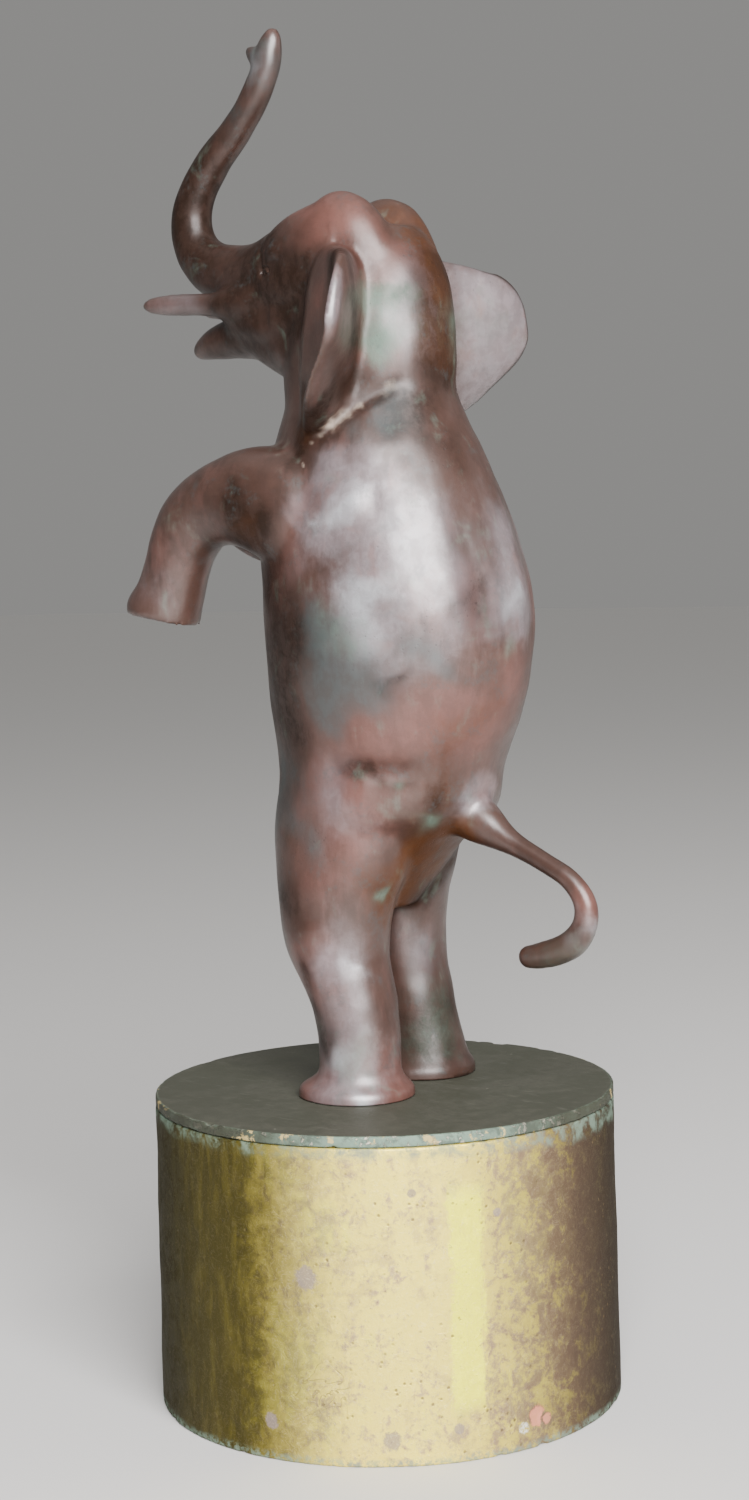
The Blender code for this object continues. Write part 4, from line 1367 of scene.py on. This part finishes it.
class LayTopPlate(bpy.types.Operator):
    """Lays the dark top plate on the drum, with its chipped green edge and painted shade where the edge
    turns away
    """

    bl_idname = "bronze_elephant.lay_plate"
    bl_label = "Lay the Top Plate"

    def execute(self, context):
        finish = context.scene.plinth_finish
        obj = turn_piece(
            "dark_top_plate", PLATE_BOX, easing=0.0007, rows=9, rings=42, rim=0.0016,
            depth=finish.rim_wear, seed=41, side_from=0.975,
            swells=((0.020, 0.00012), (0.006, 0.00010)),
        )
        dress(obj, dark_plate(finish), "plinth_top_plate", 50)
        return {"FINISHED"}


def hang(name, aim, turn, lift, distance, size, power, tint):
    """An area light aimed at the piece; turn is in degrees rightwards from the camera's side."""
    across = math.radians(turn)
    rise = math.radians(lift)
    level = PHOTO_TOWARD * math.cos(across) + PHOTO_RIGHT * math.sin(across)
    away = level * math.cos(rise) + UP * math.sin(rise)
    data = bpy.data.lights.new(name, "AREA")
    data.shape = "RECTANGLE"
    data.size, data.size_y = size
    data.energy = power
    data.color = tint
    light = added(name, data)
    light.location = aim + away * distance
    light.rotation_euler = away.to_track_quat("Z", "Y").to_euler()


class SetStudio(bpy.types.Operator):
    """Lays the pale floor, hangs the soft lights and stands the camera where the photograph's stood"""

    bl_idname = "bronze_elephant.set_studio"
    bl_label = "Set the Studio"

    def execute(self, context):
        settings = context.scene.studio_settings
        form = bmesh.new()
        bmesh.ops.create_grid(form, x_segments=8, y_segments=8, size=12)
        floor = meshed("studio_floor", form)
        bench = Bench("studio floor")
        bench.feed(Base_Color=tuple(settings.floor_colour), Roughness=0.85, Specular_IOR_Level=0.2)
        floor.data.materials.append(bench.finish)

        aim = Vector((0, 0, 0.28))
        power = settings.window_power
        hang("window", aim, 13, 26, 1.9, (1.4, 1.3), power, (1.0, 0.985, 0.99))
        hang("side_window", aim, 104, 18, 2.0, (0.9, 1.0), power * 0.015, (0.97, 0.98, 1.0))
        sky = bpy.data.lights.new("sky", "SUN")
        sky.energy = 0.52
        sky.angle = math.radians(80)
        added("sky", sky)

        world = bpy.data.worlds.new("studio")
        world.use_nodes = True
        background = world.node_tree.nodes["Background"]
        background.inputs["Color"].default_value = (0.80, 0.79, 0.77, 1)
        background.inputs["Strength"].default_value = 0.34
        context.scene.world = world

        data = bpy.data.cameras.new("camera")
        data.lens = PHOTO_LENS
        data.sensor_width = PHOTO_SENSOR
        data.sensor_fit = "AUTO"
        data.shift_y = PHOTO_SHIFT_Y
        data.clip_start = 0.01
        camera = added("camera", data)
        stand = PHOTO_TOWARD * PHOTO_DISTANCE + PHOTO_RIGHT * PHOTO_SIDESTEP + UP * PHOTO_HEIGHT
        facing = Matrix((PHOTO_RIGHT, UP, PHOTO_TOWARD)).transposed().to_4x4()
        rolled = Matrix.Rotation(PHOTO_ROLL, 4, "Z")
        camera.matrix_world = Matrix.Translation(stand) @ facing @ rolled
        context.scene.camera = camera
        return {"FINISHED"}


OPERATORS = (TurnDrum, LayTopPlate, CastElephant, SetStudio)
GROUPS = {
    "casting_sizes": CastingSizes,
    "bronze_finish": BronzeFinish,
    "plinth_finish": PlinthFinish,
    "studio_settings": StudioSettings,
}


class ElephantPanel(bpy.types.Panel):
    """Lists the steps that dress the bronze elephant"""

    bl_idname = "VIEW3D_PT_bronze_elephant"
    bl_label = "Bronze Elephant"
    bl_space_type = "VIEW_3D"
    bl_region_type = "UI"
    bl_category = "Bronze Elephant"

    def draw(self, context):
        for group, kind in GROUPS.items():
            box = self.layout.box()
            for name in kind.__annotations__:
                box.prop(getattr(context.scene, group), name)
        for operator in OPERATORS:
            self.layout.operator(operator.bl_idname)


def register():
    for kind in (*GROUPS.values(), *OPERATORS, ElephantPanel):
        bpy.utils.register_class(kind)
    for name, kind in GROUPS.items():
        setattr(bpy.types.Scene, name, bpy.props.PointerProperty(type=kind))


def unregister():
    for name in GROUPS:
        delattr(bpy.types.Scene, name)
    for kind in (ElephantPanel, *reversed(OPERATORS), *reversed(GROUPS.values())):
        bpy.utils.unregister_class(kind)


def main():
    register()
    bpy.ops.bronze_elephant.turn_drum()
    bpy.ops.bronze_elephant.lay_plate()
    bpy.ops.bronze_elephant.cast()
    bpy.ops.bronze_elephant.set_studio()


if __name__ == "__main__":
    main()
